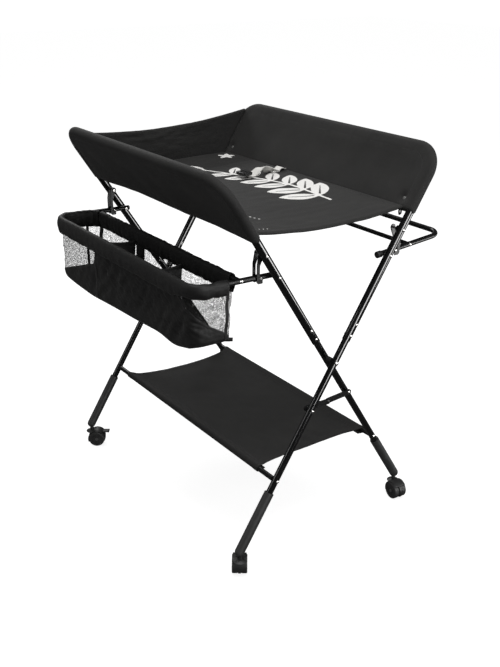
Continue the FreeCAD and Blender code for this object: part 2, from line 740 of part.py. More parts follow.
def hook_outline(frame):
    """The corners of a hook plate, from its eye: out from the leg, then down."""
    stud = on_arm(frame, NEAR, STUD_REACH)
    eye = on_leg(frame, NEAR, HOOK_BOLT_HEIGHT)
    stud_out = abs(stud.y) - abs(eye.y)
    stud_down = eye.z - stud.z
    shank = stud_out + STUD / 2 + HOOK_THROAT
    floor = stud_down + STUD / 2 + HOOK_THROAT
    wide, shoulder = HOOK_SHOULDER
    flank = HOOK_EYE * 0.4
    return [
        (-flank, flank),
        (flank, -flank),
        (shank + wide, shoulder),
        (shank + wide, floor + HOOK_BELLY / 2),
        (shank + wide / 2, floor + HOOK_BELLY),
        (stud_out - HOOK_LIP, floor + HOOK_BELLY),
        (stud_out - HOOK_LIP, floor),
        (shank, floor),
        (shank, shoulder + HOOK_LIP),
    ]


def make_hook(frame, side, name):
    """Two flat plates on one bolt, one each side of the arm, that hold its stud."""
    eye = on_leg(frame, side, HOOK_BOLT_HEIGHT)
    plates = []
    for way in (1, -1):
        face = arm_x(frame) + way * (ARM_TUBE / 2 + HOOK_PLATE_GAP)
        eye.x = side * face
        thick = Vector(side * way * HOOK_PLATE, 0, 0)
        corners = [
            eye + Vector(0, frame * out, -down) for out, down in hook_outline(frame)
        ]
        plate = prism(corners, thick).fuse(rod(eye, eye + thick, HOOK_EYE)).removeSplitter()
        plates.append(drilled(plate, [eye], RIVET_SHANK + 2 * HOLE_CLEARANCE))
    save(name, *plates)


def make_end_caps():
    """Push-on plastic ends of the rack's arms, past the legs."""
    caps = []
    for side in (NEAR, FAR):
        tip = on_arm(OUTER, side, -RACK_ARM_TAIL)
        way = arm_way(OUTER)
        outer = tip - way * END_CAP_FLOOR
        cap = rod(outer, outer + way * END_CAP_LENGTH, END_CAP)
        rims = [edge for edge in cap.Edges if edge.Closed]
        cap = cap.makeFillet(END_CAP_ROUND, rims)
        bore = ARM_TUBE + 2 * HOLE_CLEARANCE
        caps.append(cap.cut(rod(tip, tip + way * END_CAP_LENGTH, bore)))
    save("rack_end_caps", *caps)


def basket_place(shape):
    """Tips a basket drawn level, with the arms' pivot at the origin."""
    tip = Rotation(ALONG_X, -BASKET_RISE_DEG)
    root = on_arm(INNER, NEAR, 0)
    root.x = 0
    return shape.transformed(Placement(root, tip).toMatrix(), True)


def make_basket_bag():
    """An open cloth bag that hangs from the U and the cross bar."""
    bore = ARM_TUBE + 2 * CLOTH_GAP
    around = bore + 2 * BASKET_SLEEVE
    x = arm_x(INNER)
    start = BAR_REACH + bore / 2
    corners = [
        Vector(-x, -start, 0),
        Vector(-x, -BASKET_REACH, 0),
        Vector(x, -BASKET_REACH, 0),
        Vector(x, -start, 0),
    ]
    rim = bent_rod(corners, ARM_BEND_RADIUS, around)
    bar = Vector(x - ARM_TUBE / 2 - RIVET_HEAD_HEIGHT, 0, 0)
    back = Vector(0, -BAR_REACH, 0)
    back_rim = rod(back - bar, back + bar, around)
    half = BASKET_CLOTH / 2
    cut = half + ARM_TUBE / 2
    outline = [
        Vector(-x - half, -BAR_REACH + half, -BASKET_DEPTH),
        Vector(x + half, -BAR_REACH + half, -BASKET_DEPTH),
        Vector(x + half, -BASKET_REACH - half, -BASKET_DEPTH),
        Vector(-x - half, -BASKET_REACH - half, -BASKET_DEPTH),
    ]
    block = prism(outline, Vector(0, 0, BASKET_DEPTH))
    upright = [
        edge
        for edge in block.Edges
        if abs(edge.tangentAt(edge.FirstParameter).z) > 0.9
        and edge.CenterOfMass.y < -BASKET_REACH
    ]
    block = block.makeFillet(ARM_BEND_RADIUS, upright)
    dividers = (-DIVIDER_X, DIVIDER_X)
    ends = [-x + half, *dividers, x - half]
    hollows = []
    for left, right in zip(ends, ends[1:]):
        low = Vector(left + (left in dividers) * half, 0, -BASKET_DEPTH)
        low = low + Vector(0, -BASKET_REACH + half, BASKET_CLOTH)
        high = Vector(right - (right in dividers) * half, -BAR_REACH - half, 1)
        hollow = box(low, high)
        corner = [
            edge
            for edge in hollow.Edges
            if abs(edge.tangentAt(edge.FirstParameter).z) > 0.9
            and edge.CenterOfMass.y < -BASKET_REACH + cut
            and abs(edge.CenterOfMass.x) > x - cut
        ]
        if corner:
            hollow = hollow.makeFillet(ARM_BEND_RADIUS - BASKET_CLOTH, corner)
        hollows.append(hollow)
    above = box(
        Vector(ends[0], -BASKET_REACH + cut, -DIVIDER_DROP),
        Vector(ends[-1], -BAR_REACH - cut, 1),
    )
    bag = block.cut(hollows).cut(above).fuse([rim, back_rim]).removeSplitter()
    tube = bent_rod(
        [corners[0] + ALONG_Y * around, *corners[1:3], corners[3] + ALONG_Y * around],
        ARM_BEND_RADIUS,
        bore,
    )
    past = Vector(x + BASKET_CLOTH, 0, 0)
    bar_room = rod(back - past, back + past, CROSS_BAR + 2 * CLOTH_GAP)
    save("basket_bag", basket_place(bag.cut(tube).cut(bar_room)))


# --- build every piece ---------------------------------------------------
def main():
    os.makedirs("parts", exist_ok=True)
    for frame in (OUTER, INNER):
        make_top_frame(frame)
        make_shelf_bar(frame)
        make_side_wall(frame)
        rivets = []
        for side in (NEAR, FAR):
            make_leg(frame, side)
            make_stay(frame, side)
            make_sleeve(frame, side)
            make_caster(frame, side)
            rivets += [*frame_rivets(frame, side), stay_rivet(frame, side)]
        save(f"{FRAME_NAME[frame]}_frame_rivets", *rivets)
    make_pivots()
    make_bed()
    make_head_wall()
    make_belt()
    make_snaps()
    make_shelf()
    make_arm_frame(INNER, "basket_frame", BASKET_ARM_TAIL, BASKET_REACH)
    make_cross_bar(INNER, "basket_cross_bar")
    make_arm_rivets(INNER, "basket_rivets")
    make_basket_bag()
    make_arm_frame(OUTER, "rack_frame", RACK_ARM_TAIL, RACK_REACH)
    make_cross_bar(OUTER, "rack_cross_bar")
    make_arm_rivets(OUTER, "rack_rivets")
    make_end_caps()
    for side in (NEAR, FAR):
        make_hook(INNER, side, f"basket_hook_{SIDE_NAME[side]}")
        make_hook(OUTER, side, f"rack_hook_{SIDE_NAME[side]}")


main()
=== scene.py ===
import json
import math

import bmesh
import bpy
import numpy as np
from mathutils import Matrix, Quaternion, Vector, noise


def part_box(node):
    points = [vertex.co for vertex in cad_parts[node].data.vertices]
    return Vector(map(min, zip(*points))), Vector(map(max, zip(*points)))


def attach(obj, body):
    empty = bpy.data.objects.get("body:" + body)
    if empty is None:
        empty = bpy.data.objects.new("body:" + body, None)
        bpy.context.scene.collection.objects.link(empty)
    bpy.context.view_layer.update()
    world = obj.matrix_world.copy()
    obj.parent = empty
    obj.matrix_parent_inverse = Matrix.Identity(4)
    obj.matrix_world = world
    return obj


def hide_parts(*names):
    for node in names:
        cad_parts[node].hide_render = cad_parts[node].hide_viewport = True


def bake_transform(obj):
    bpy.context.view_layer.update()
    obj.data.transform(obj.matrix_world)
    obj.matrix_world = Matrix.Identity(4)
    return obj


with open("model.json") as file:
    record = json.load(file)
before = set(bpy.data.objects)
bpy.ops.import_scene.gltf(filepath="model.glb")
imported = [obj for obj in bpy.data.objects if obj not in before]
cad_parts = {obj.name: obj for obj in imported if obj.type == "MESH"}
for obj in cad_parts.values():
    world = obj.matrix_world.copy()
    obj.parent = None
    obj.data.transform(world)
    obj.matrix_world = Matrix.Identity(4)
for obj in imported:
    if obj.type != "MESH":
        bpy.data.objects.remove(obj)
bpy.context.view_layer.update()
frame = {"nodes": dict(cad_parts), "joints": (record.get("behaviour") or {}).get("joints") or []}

nodes = frame["nodes"]
scene = bpy.context.scene

# --- Studio ---------------------------------------------------------------
# A plain pale floor that runs to a pale surround, four soft lights, two strips
# that only add shine to the paint, and a camera at standing height off the foot
# end, a little to the basket side.
CAMERA_AZIMUTH = math.radians(53.077)
CAMERA_ELEVATION = math.radians(23.775)
CAMERA_ROLL = math.radians(0.636)
FLOOR_REACH = 14.0
FLOOR_DROP = 0.0005


def link_mesh(name, mesh):
    """A mesh as an object in the scene, at the origin."""
    piece = bpy.data.objects.new(name, mesh)
    scene.collection.objects.link(piece)
    return piece


def new_material(name):
    """A material with its Principled shader, for nodes to be added to."""
    material = bpy.data.materials.new(name)
    material.use_nodes = True
    tree = material.node_tree
    return material, tree, tree.nodes["Principled BSDF"]


def soft_light(name, place, target, size, power, shine_only=False):
    """A rectangular lamp aimed at a place; one that is shine_only lights no diffuse."""
    lamp = bpy.data.lights.new(name, "AREA")
    lamp.shape = "RECTANGLE"
    lamp.size, lamp.size_y = size
    lamp.energy = power
    light = bpy.data.objects.new(name, lamp)
    scene.collection.objects.link(light)
    light.location = place
    aim = Vector(target) - Vector(place)
    light.rotation_mode = "QUATERNION"
    light.rotation_quaternion = aim.to_track_quat("-Z", "Y")
    light.visible_diffuse = not shine_only


floor_mesh = bpy.data.meshes.new("studio_floor")
floor_mesh.from_pydata(
    [
        (x * FLOOR_REACH, y * FLOOR_REACH, -FLOOR_DROP)
        for x, y in ((-1, -1), (1, -1), (1, 1), (-1, 1))
    ],
    [],
    [(0, 1, 2, 3)],
)
studio_floor = link_mesh("studio_floor", floor_mesh)
floor_paper, floor_tree, floor_shader = new_material("floor_paper")
floor_shader.inputs["Base Color"].default_value = (0.42, 0.42, 0.42, 1)
floor_shader.inputs["Roughness"].default_value = 0.9
floor_shader.inputs["Emission Color"].default_value = (1, 1, 1, 1)
seen_by_camera = floor_tree.nodes.new("ShaderNodeLightPath").outputs["Is Camera Ray"]
floor_glow = floor_tree.nodes.new("ShaderNodeMath")
floor_glow.operation = "MULTIPLY"
floor_glow.inputs[1].default_value = 0.86
floor_tree.links.new(seen_by_camera, floor_glow.inputs[0])
floor_tree.links.new(floor_glow.outputs[0], floor_shader.inputs["Emission Strength"])
floor_mesh.materials.append(floor_paper)
studio_floor.visible_glossy = False

surround = bpy.data.worlds.new("pale_surround")
scene.world = surround
surround.use_nodes = True
surround_light = surround.node_tree.nodes["Background"]
surround_light.inputs["Color"].default_value = (1, 1, 1, 1)
surround_path = surround.node_tree.nodes.new("ShaderNodeLightPath")
previous = None
for ray, strength in (("Is Glossy Ray", 0.05), ("Is Camera Ray", 1.05)):
    choice = surround.node_tree.nodes.new("ShaderNodeMix")
    choice.inputs["A"].default_value = 0.34
    choice.inputs["B"].default_value = strength
    surround.node_tree.links.new(surround_path.outputs[ray], choice.inputs["Factor"])
    if previous:
        surround.node_tree.links.new(previous.outputs["Result"], choice.inputs["A"])
    previous = choice
surround.node_tree.links.new(previous.outputs["Result"], surround_light.inputs["Strength"])
scene.view_settings.view_transform = "Standard"

soft_light("top_softbox", (0.5, -0.3, 3.5), (0, 0, 0.6), (2.0, 1.6), 58)
soft_light("side_softbox", (2.9, 1.7, 2.1), (0, 0, 0.5), (0.5, 2.0), 16)
soft_light("strip_right", (2.85, -0.30, 1.60), (0.3, 0, 0.6), (0.95, 2.4), 64, shine_only=True)
soft_light("strip_low", (1.9, 1.9, 0.35), (0.3, 0, 0.6), (1.6, 0.6), 26, shine_only=True)
soft_light("back_softbox", (-2.6, 0.6, 2.4), (0, 0, 0.6), (1.4, 1.0), 26)
soft_light("left_softbox", (-0.9, -3.0, 1.6), (0, 0, 0.6), (0.4, 2.0), 9)

camera_data = bpy.data.cameras.new("camera")
camera_data.lens = 47.14
camera_data.sensor_width = 36
camera = bpy.data.objects.new("camera", camera_data)
scene.collection.objects.link(camera)
camera.location = (1.77095, -1.29547, 1.40424)
towards_camera = Vector(
    (
        math.sin(CAMERA_AZIMUTH) * math.cos(CAMERA_ELEVATION),
        -math.cos(CAMERA_AZIMUTH) * math.cos(CAMERA_ELEVATION),
        math.sin(CAMERA_ELEVATION),
    )
)
camera.rotation_mode = "QUATERNION"
camera.rotation_quaternion = towards_camera.to_track_quat("Z", "Y") @ Quaternion(
    (0, 0, 1), CAMERA_ROLL
)
scene.camera = camera

# --- Painted steel tubes and plates ----------------------------------------
# Two U frames, four legs, crossbars, basket and rack frames of bent steel tube
# and the flat stays and hooks, all powder coated black before riveting.
GLOSS_TUBES = (
    "inner_top_frame",
    "outer_top_frame",
    "inner_leg_near",
    "inner_leg_far",
    "outer_leg_near",
    "outer_leg_far",
)
SATIN_TUBES = (
    "front_shelf_bar",
    "rear_shelf_bar",
    "basket_frame",
    "basket_cross_bar",
    "rack_frame",
    "rack_cross_bar",
)
FLAT_PLATES = [name for name in nodes if "_hook_" in name or name.startswith("stay_")]


def add(tree, kind, **settings):
    """A shader node with plain settings, and sockets given by name."""
    node = tree.nodes.new(kind)
    for key, value in settings.items():
        if hasattr(node, key):
            setattr(node, key, value)
        else:
            node.inputs[key.replace("_", " ")].default_value = value
    return node


def group_of(name, inputs, outputs):
    """An empty shader group with named sockets, and its two ends."""
    group = bpy.data.node_groups.new(name, "ShaderNodeTree")
    for socket, kind, value in inputs:
        made = group.interface.new_socket(socket, in_out="INPUT", socket_type=kind)
        made.default_value = value
    for socket, kind in outputs:
        group.interface.new_socket(socket, in_out="OUTPUT", socket_type=kind)
    return group, group.nodes.new("NodeGroupInput"), group.nodes.new("NodeGroupOutput")


def moulded_or_painted_surface():
    """Faint mottling, orange peel and rubbed patches over paint or plastic."""
    group, start, end = group_of(
        "surface_finish",
        [
            ("Base", "NodeSocketColor", (0.02, 0.02, 0.02, 1)),
            ("Rubbed", "NodeSocketColor", (0.06, 0.06, 0.06, 1)),
            ("Rub Amount", "NodeSocketFloat", 0.3),
            ("Grain Scale", "NodeSocketFloat", 900.0),
            ("Roughness", "NodeSocketFloat", 0.3),
            ("Roughness Spread", "NodeSocketFloat", 0.1),
        ],
        [
            ("Color", "NodeSocketColor"),
            ("Roughness", "NodeSocketFloat"),
            ("Height", "NodeSocketFloat"),
        ],
    )
    link = group.links.new
    place = group.nodes.new("ShaderNodeTexCoord").outputs["Object"]
    grain = add(group, "ShaderNodeTexNoise", Detail=3.0)
    link(place, grain.inputs["Vector"])
    link(start.outputs["Grain Scale"], grain.inputs["Scale"])
    broad = add(group, "ShaderNodeTexNoise", Scale=38.0, Detail=4.0)
    link(place, broad.inputs["Vector"])
    patch = add(group, "ShaderNodeMapRange", interpolation_type="SMOOTHSTEP")
    patch.inputs["From Min"].default_value = 0.48
    patch.inputs["From Max"].default_value = 0.75
    link(broad.outputs["Fac"], patch.inputs["Value"])
    amount = add(group, "ShaderNodeMath", operation="MULTIPLY")
    link(patch.outputs["Result"], amount.inputs[0])
    link(start.outputs["Rub Amount"], amount.inputs[1])
    blend = add(group, "ShaderNodeMix", data_type="RGBA")
    link(amount.outputs[0], blend.inputs["Factor"])
    link(start.outputs["Base"], blend.inputs["A"])
    link(start.outputs["Rubbed"], blend.inputs["B"])
    link(blend.outputs["Result"], end.inputs["Color"])
    spread = add(group, "ShaderNodeMath", operation="MULTIPLY")
    link(broad.outputs["Fac"], spread.inputs[0])
    link(start.outputs["Roughness Spread"], spread.inputs[1])
    rough = add(group, "ShaderNodeMath", operation="ADD")
    link(spread.outputs[0], rough.inputs[0])
    link(start.outputs["Roughness"], rough.inputs[1])
    link(rough.outputs[0], end.inputs["Roughness"])
    link(grain.outputs["Fac"], end.inputs["Height"])
    return group


SURFACE_FINISH = moulded_or_painted_surface()


def finished(name, base, rubbed, rub, grain, roughness, spread, bump, metal=0.0):
    """A hard material: its finish group, a fine bump and its own shader."""
    material, tree, shader = new_material(name)
    finish = tree.nodes.new("ShaderNodeGroup")
    finish.node_tree = SURFACE_FINISH
    finish.inputs["Base"].default_value = (*base, 1)
    finish.inputs["Rubbed"].default_value = (*rubbed, 1)
    finish.inputs["Rub Amount"].default_value = rub
    finish.inputs["Grain Scale"].default_value = grain
    finish.inputs["Roughness"].default_value = roughness
    finish.inputs["Roughness Spread"].default_value = spread
    link = tree.links.new
    link(finish.outputs["Color"], shader.inputs["Base Color"])
    link(finish.outputs["Roughness"], shader.inputs["Roughness"])
    relief = add(tree, "ShaderNodeBump", Strength=bump, Distance=0.0002)
    link(finish.outputs["Height"], relief.inputs["Height"])
    link(relief.outputs["Normal"], shader.inputs["Normal"])
    shader.inputs["Metallic"].default_value = metal
    return material, shader


def coat_nodes(material, names):
    """Gives CAD nodes one material each, and nothing else about them changes."""
    for name in names:
        mesh = nodes[name].data
        mesh.materials.clear()
        mesh.materials.append(material)


gloss_black, gloss_shader = finished(
    "gloss_black_paint", (0.0035, 0.0035, 0.0038), (0.008, 0.008, 0.008), 0.4, 700, 0.12, 0.08, 0.06
)
gloss_shader.inputs["Coat Weight"].default_value = 0.8
gloss_shader.inputs["Coat Roughness"].default_value = 0.06
satin_black, _ = finished(
    "satin_black_paint", (0.006, 0.006, 0.0065), (0.014, 0.014, 0.014), 0.4, 900, 0.24, 0.12, 0.12
)
plate_black, _ = finished(
    "plate_black_paint", (0.007, 0.007, 0.0075), (0.018, 0.018, 0.018), 0.5, 1100, 0.28, 0.12, 0.15
)
coat_nodes(gloss_black, GLOSS_TUBES)
coat_nodes(satin_black, SATIN_TUBES)
coat_nodes(plate_black, FLAT_PLATES)

# --- Rivets, bolts and caster pins ------------------------------------------
# Domed nickel-plated rivets through every tube, the pivot bolts, and the
# zinc-plated axles and stems of the casters.
nickel, _ = finished(
    "nickel_plate", (0.72, 0.71, 0.69), (0.5, 0.49, 0.47), 0.5, 2200, 0.16, 0.16, 0.15, 1.0
)
zinc, _ = finished(
    "zinc_plate", (0.42, 0.42, 0.42), (0.3, 0.3, 0.29), 0.6, 1800, 0.3, 0.2, 0.3, 1.0
)
coat_nodes(
    nickel,
    ("inner_frame_rivets", "outer_frame_rivets", "pivot_bolts", "basket_rivets", "rack_rivets"),
)
coat_nodes(zinc, [name for name in nodes if name.startswith("caster_pins")])

# --- Moulded feet, casters and caps ------------------------------------------
# Height sleeves, caster hoods, twin wheels, brake levers, arm caps and pivot
# spacers, injection moulded in black plastics with a fine sparked texture.
sleeve_black, _ = finished(
    "sleeve_plastic", (0.038, 0.038, 0.038), (0.065, 0.065, 0.064), 0.5, 1600, 0.42, 0.15, 0.35
)
hood_black, _ = finished(
    "hood_plastic", (0.026, 0.026, 0.026), (0.048, 0.048, 0.047), 0.5, 1500, 0.36, 0.15, 0.3
)
wheel_grey, _ = finished(
    "wheel_plastic", (0.03, 0.03, 0.03), (0.08, 0.078, 0.075), 0.7, 1200, 0.45, 0.2, 0.4
)
cap_black, _ = finished(
    "cap_plastic", (0.014, 0.014, 0.014), (0.03, 0.03, 0.03), 0.4, 1500, 0.4, 0.15, 0.3
)
coat_nodes(sleeve_black, [name for name in nodes if name.startswith("foot_sleeve")])
coat_nodes(hood_black, [name for name in nodes if name.startswith("caster_hood")])
coat_nodes(wheel_grey, [name for name in nodes if name.startswith("caster_wheels")])
coat_nodes(
    cap_black,
    ["rack_end_caps", "pivot_spacers"] + [n for n in nodes if n.startswith("brake_lever")],
)

# --- Tray side walls ---------------------------------------------------------
# Each wall is a black oxford-cloth sleeve drawn down over a frame's U, with a
# thin foam panel quilted in below the tube. A seam follows inside the tube.
PIVOT = Vector((0, 0, 0.5))
FOOT_SLIDE = {
    joint["name"]: Vector(joint["axis"])
    for joint in frame["joints"]
    if joint["name"].startswith("foot_slide")
}
LEG_UP = {
    "outer": -FOOT_SLIDE["foot_slide_outer_near"],
    "inner": -FOOT_SLIDE["foot_slide_inner_near"],
}
OUTWARD = {"outer": 1, "inner": -1}
TUBE_RADIUS = 0.010
CLOTHED_RADIUS = 0.0122
BEND_RADIUS = 0.065
WALL_FOOT_Z = 0.834
WALL_HALF = 0.0066
SEAM_IN = 0.0205
SEAM_DEPTH = 0.0006


def faces_normal(frame_name):
    """Square to a frame's plane, out of the tray."""
    up = LEG_UP[frame_name]
    return Vector((0, OUTWARD[frame_name] * up.z, -abs(up.y)))


def fuzz(place, scale, seed):
    """Smooth noise from -1 to 1, the same each run."""
    return noise.noise(Vector((place[0] * scale, place[1] * scale, place[2] * scale + seed)))


def arc_lengths(points, axis):
    """How far along its own rows each point of a grid is, in metres."""
    steps = np.linalg.norm(np.diff(points, axis=axis), axis=2)
    total = np.cumsum(steps, axis=axis)
    start = np.zeros_like(np.take(total, [0], axis=axis))
    return np.concatenate([start, total], axis=axis)


def grid_normals(points):
    """Unit normals of a grid of points."""
    down = np.gradient(points, axis=0)
    along = np.gradient(points, axis=1)
    normal = np.cross(down, along)
    return normal / np.maximum(np.linalg.norm(normal, axis=2, keepdims=True), 1e-12)


def padded_mesh(name, middle, half, material, marks=None, joined=False):
    """A closed shell either side of a grid of points, with its own weave UVs.
    Where half falls to nothing at an edge, the two faces meet there. A joined
    grid's last column lies on its first."""
    middle = np.asarray(middle, float)
    rows, columns = middle.shape[:2]
    half = np.broadcast_to(np.asarray(half, float), (rows, columns))
    if joined:
        ring = np.concatenate([middle[:, -3:-1], middle, middle[:, 1:3]], axis=1)
        normal = grid_normals(ring)[:, 2:-2]
    else:
        normal = grid_normals(middle)
    front = middle + normal * half[..., None]
    back = middle - normal * half[..., None]
    place = np.concatenate([front.reshape(-1, 3), back.reshape(-1, 3)])
    count = rows * columns
    index = np.arange(count).reshape(rows, columns)
    a, b = index[:-1, :-1].ravel(), index[:-1, 1:].ravel()
    c, d = index[1:, 1:].ravel(), index[1:, :-1].ravel()
    faces = [tuple(f) for f in np.stack([a, d, c, b], 1).tolist()]
    faces += [tuple(f) for f in (np.stack([a, b, c, d], 1) + count).tolist()]
    if joined:
        pairs = [*zip(index[0, :-1], index[0, 1:]), *zip(index[-1, 1:], index[-1, :-1])]
    else:
        edge = [*index[0, :], *index[1:, -1], *index[-1, -2::-1], *index[-2:0:-1, 0]]
        pairs = zip(edge, edge[1:] + edge[:1])
    for one, other in pairs:
        faces.append((int(one), int(other), int(other) + count, int(one) + count))
    mesh = bpy.data.meshes.new(name)
    mesh.from_pydata(place.tolist(), [], faces)
    across = arc_lengths(middle, 1).reshape(-1)
    along = arc_lengths(middle, 0).reshape(-1)
    uv = np.stack([np.tile(across, 2), np.tile(along, 2)], 1)
    layer = mesh.uv_layers.new(name="weave")
    corners = np.zeros(len(mesh.loops), np.int64)
    mesh.loops.foreach_get("vertex_index", corners)
    layer.data.foreach_set("uv", uv[corners].ravel())
    if marks is not None:
        for label, values in marks.items():
            mark = mesh.attributes.new(label, "FLOAT", "POINT")
            doubled = np.tile(np.asarray(values, float).reshape(-1), 2)
            mark.data.foreach_set("value", doubled)
    shape = bmesh.new()
    shape.from_mesh(mesh)
    bmesh.ops.remove_doubles(shape, verts=shape.verts, dist=5e-6)
    bmesh.ops.dissolve_degenerate(shape, edges=shape.edges, dist=1e-7)
    bmesh.ops.recalc_face_normals(shape, faces=shape.faces)
    shape.to_mesh(mesh)
    shape.free()
    mesh.polygons.foreach_set("use_smooth", [True] * len(mesh.polygons))
    mesh.materials.append(material)
    return link_mesh(name, mesh)


def woven_cloth_group():
    """Plain weave from the piece's own UVs, with slubs, dust and faded folds."""
    group, start, end = group_of(
        "woven_cloth",
        [
            ("Thread", "NodeSocketColor", (0.02, 0.02, 0.02, 1)),
            ("Faded", "NodeSocketColor", (0.05, 0.05, 0.05, 1)),
            ("Threads per Metre", "NodeSocketFloat", 1250.0),
            ("Fade", "NodeSocketFloat", 0.35),
            ("Roughness", "NodeSocketFloat", 0.75),
        ],
        [
            ("Color", "NodeSocketColor"),
            ("Roughness", "NodeSocketFloat"),
            ("Height", "NodeSocketFloat"),
        ],
    )
    link = group.links.new
    weave = add(group, "ShaderNodeUVMap", uv_map="weave")
    split = group.nodes.new("ShaderNodeSeparateXYZ")
    link(weave.outputs["UV"], split.inputs[0])
    waves = []
    for axis in ("X", "Y"):
        turns = add(group, "ShaderNodeMath", operation="MULTIPLY")
        link(split.outputs[axis], turns.inputs[0])
        link(start.outputs["Threads per Metre"], turns.inputs[1])
        angle = add(group, "ShaderNodeMath", operation="MULTIPLY")
        link(turns.outputs[0], angle.inputs[0])
        angle.inputs[1].default_value = math.pi
        wave = add(group, "ShaderNodeMath", operation="SINE")
        link(angle.outputs[0], wave.inputs[0])
        waves.append(wave)
    cross = add(group, "ShaderNodeMath", operation="MULTIPLY")
    link(waves[0].outputs[0], cross.inputs[0])
    link(waves[1].outputs[0], cross.inputs[1])
    place = group.nodes.new("ShaderNodeTexCoord").outputs["Object"]
    slub = add(group, "ShaderNodeTexNoise", Scale=420.0, Detail=4.0)
    link(place, slub.inputs["Vector"])
    broad = add(group, "ShaderNodeTexNoise", Scale=9.0, Detail=5.0, Roughness=0.6)
    link(place, broad.inputs["Vector"])
    tone = add(group, "ShaderNodeMath", operation="MULTIPLY_ADD")
    link(cross.outputs[0], tone.inputs[0])
    tone.inputs[1].default_value = 0.16
    link(slub.outputs["Fac"], tone.inputs[2])
    fold = add(group, "ShaderNodeMath", operation="MULTIPLY_ADD")
    link(broad.outputs["Fac"], fold.inputs[0])
    fold.inputs[1].default_value = 1.1
    link(tone.outputs[0], fold.inputs[2])
    ramp = add(group, "ShaderNodeMapRange")
    ramp.inputs["From Min"].default_value = 0.7
    ramp.inputs["From Max"].default_value = 1.5
    link(fold.outputs[0], ramp.inputs["Value"])
    amount = add(group, "ShaderNodeMath", operation="MULTIPLY")
    link(ramp.outputs["Result"], amount.inputs[0])
    link(start.outputs["Fade"], amount.inputs[1])
    blend = add(group, "ShaderNodeMix", data_type="RGBA")
    link(amount.outputs[0], blend.inputs["Factor"])
    link(start.outputs["Thread"], blend.inputs["A"])
    link(start.outputs["Faded"], blend.inputs["B"])
    link(blend.outputs["Result"], end.inputs["Color"])
    rough = add(group, "ShaderNodeMath", operation="MULTIPLY_ADD")
    link(slub.outputs["Fac"], rough.inputs[0])
    rough.inputs[1].default_value = 0.12
    link(start.outputs["Roughness"], rough.inputs[2])
    link(rough.outputs[0], end.inputs["Roughness"])
    height = add(group, "ShaderNodeMath", operation="MULTIPLY_ADD")
    link(cross.outputs[0], height.inputs[0])
    height.inputs[1].default_value = 0.5
    link(slub.outputs["Fac"], height.inputs[2])
    link(height.outputs[0], end.inputs["Height"])
    return group


WOVEN_CLOTH = woven_cloth_group()


def cloth(name, thread, faded, threads, fade, roughness, bump, sheen):
    """A woven material. Returns it with its tree, shader and weave group."""
    material, tree, shader = new_material(name)
    weave = tree.nodes.new("ShaderNodeGroup")
    weave.node_tree = WOVEN_CLOTH
    weave.inputs["Thread"].default_value = (*thread, 1)
    weave.inputs["Faded"].default_value = (*faded, 1)
    weave.inputs["Threads per Metre"].default_value = threads
    weave.inputs["Fade"].default_value = fade
    weave.inputs["Roughness"].default_value = roughness
    link = tree.links.new
    link(weave.outputs["Color"], shader.inputs["Base Color"])
    link(weave.outputs["Roughness"], shader.inputs["Roughness"])
    relief = add(tree, "ShaderNodeBump", Strength=bump, Distance=0.0003)
    link(weave.outputs["Height"], relief.inputs["Height"])
    link(relief.outputs["Normal"], shader.inputs["Normal"])
    shader.inputs["Sheen Weight"].default_value = sheen
    shader.inputs["Sheen Roughness"].default_value = 0.5
    shader.inputs["Specular IOR Level"].default_value = 0.3
    return material, tree, shader, weave


tray_cloth = cloth(
    "tray_oxford_cloth", (0.010, 0.0097, 0.0093), (0.027, 0.026, 0.0245), 1250, 0.6, 0.72, 0.3, 0.06
)[0]


def stitch_maker():
    """Geometry nodes: evenly spaced thread stitches laid along edge lines."""
    tree = bpy.data.node_groups.new("lay_stitches", "GeometryNodeTree")
    face = tree.interface
    face.new_socket("Lines", in_out="INPUT", socket_type="NodeSocketGeometry")
    sockets = {}
    for label, value in (("Pitch", 0.0042), ("Stitch Length", 0.0031), ("Thread Radius", 0.00035)):
        made = face.new_socket(label, in_out="INPUT", socket_type="NodeSocketFloat")
        made.default_value = value
        sockets[label] = made.identifier
    thread = face.new_socket("Thread", in_out="INPUT", socket_type="NodeSocketMaterial")
    sockets["Thread"] = thread.identifier
    face.new_socket("Stitches", in_out="OUTPUT", socket_type="NodeSocketGeometry")
    make, link = tree.nodes.new, tree.links.new
    start, end = make("NodeGroupInput"), make("NodeGroupOutput")
    curve = make("GeometryNodeMeshToCurve")
    link(start.outputs["Lines"], curve.inputs["Mesh"])
    spaced = make("GeometryNodeResampleCurve")
    spaced.mode = "LENGTH"
    link(curve.outputs["Curve"], spaced.inputs["Curve"])
    link(start.outputs["Pitch"], spaced.inputs["Length"])
    points = make("GeometryNodeCurveToPoints")
    points.mode = "EVALUATED"
    link(spaced.outputs["Curve"], points.inputs["Curve"])
    stitch = make("GeometryNodeMeshUVSphere")
    stitch.inputs["Segments"].default_value = 6
    stitch.inputs["Rings"].default_value = 5
    stitch.inputs["Radius"].default_value = 0.5
    size = make("ShaderNodeCombineXYZ")
    wide = make("ShaderNodeMath")
    wide.operation = "MULTIPLY"
    wide.inputs[1].default_value = 2.0
    link(start.outputs["Thread Radius"], wide.inputs[0])
    link(wide.outputs[0], size.inputs["X"])
    link(wide.outputs[0], size.inputs["Y"])
    link(start.outputs["Stitch Length"], size.inputs["Z"])
    place = make("GeometryNodeInstanceOnPoints")
    link(points.outputs["Points"], place.inputs["Points"])
    link(stitch.outputs["Mesh"], place.inputs["Instance"])
    link(points.outputs["Rotation"], place.inputs["Rotation"])
    link(size.outputs["Vector"], place.inputs["Scale"])
    real = make("GeometryNodeRealizeInstances")
    link(place.outputs["Instances"], real.inputs["Geometry"])
    colour = make("GeometryNodeSetMaterial")
    link(real.outputs["Geometry"], colour.inputs["Geometry"])
    link(start.outputs["Thread"], colour.inputs["Material"])
    link(colour.outputs["Geometry"], end.inputs["Stitches"])
    return tree, sockets


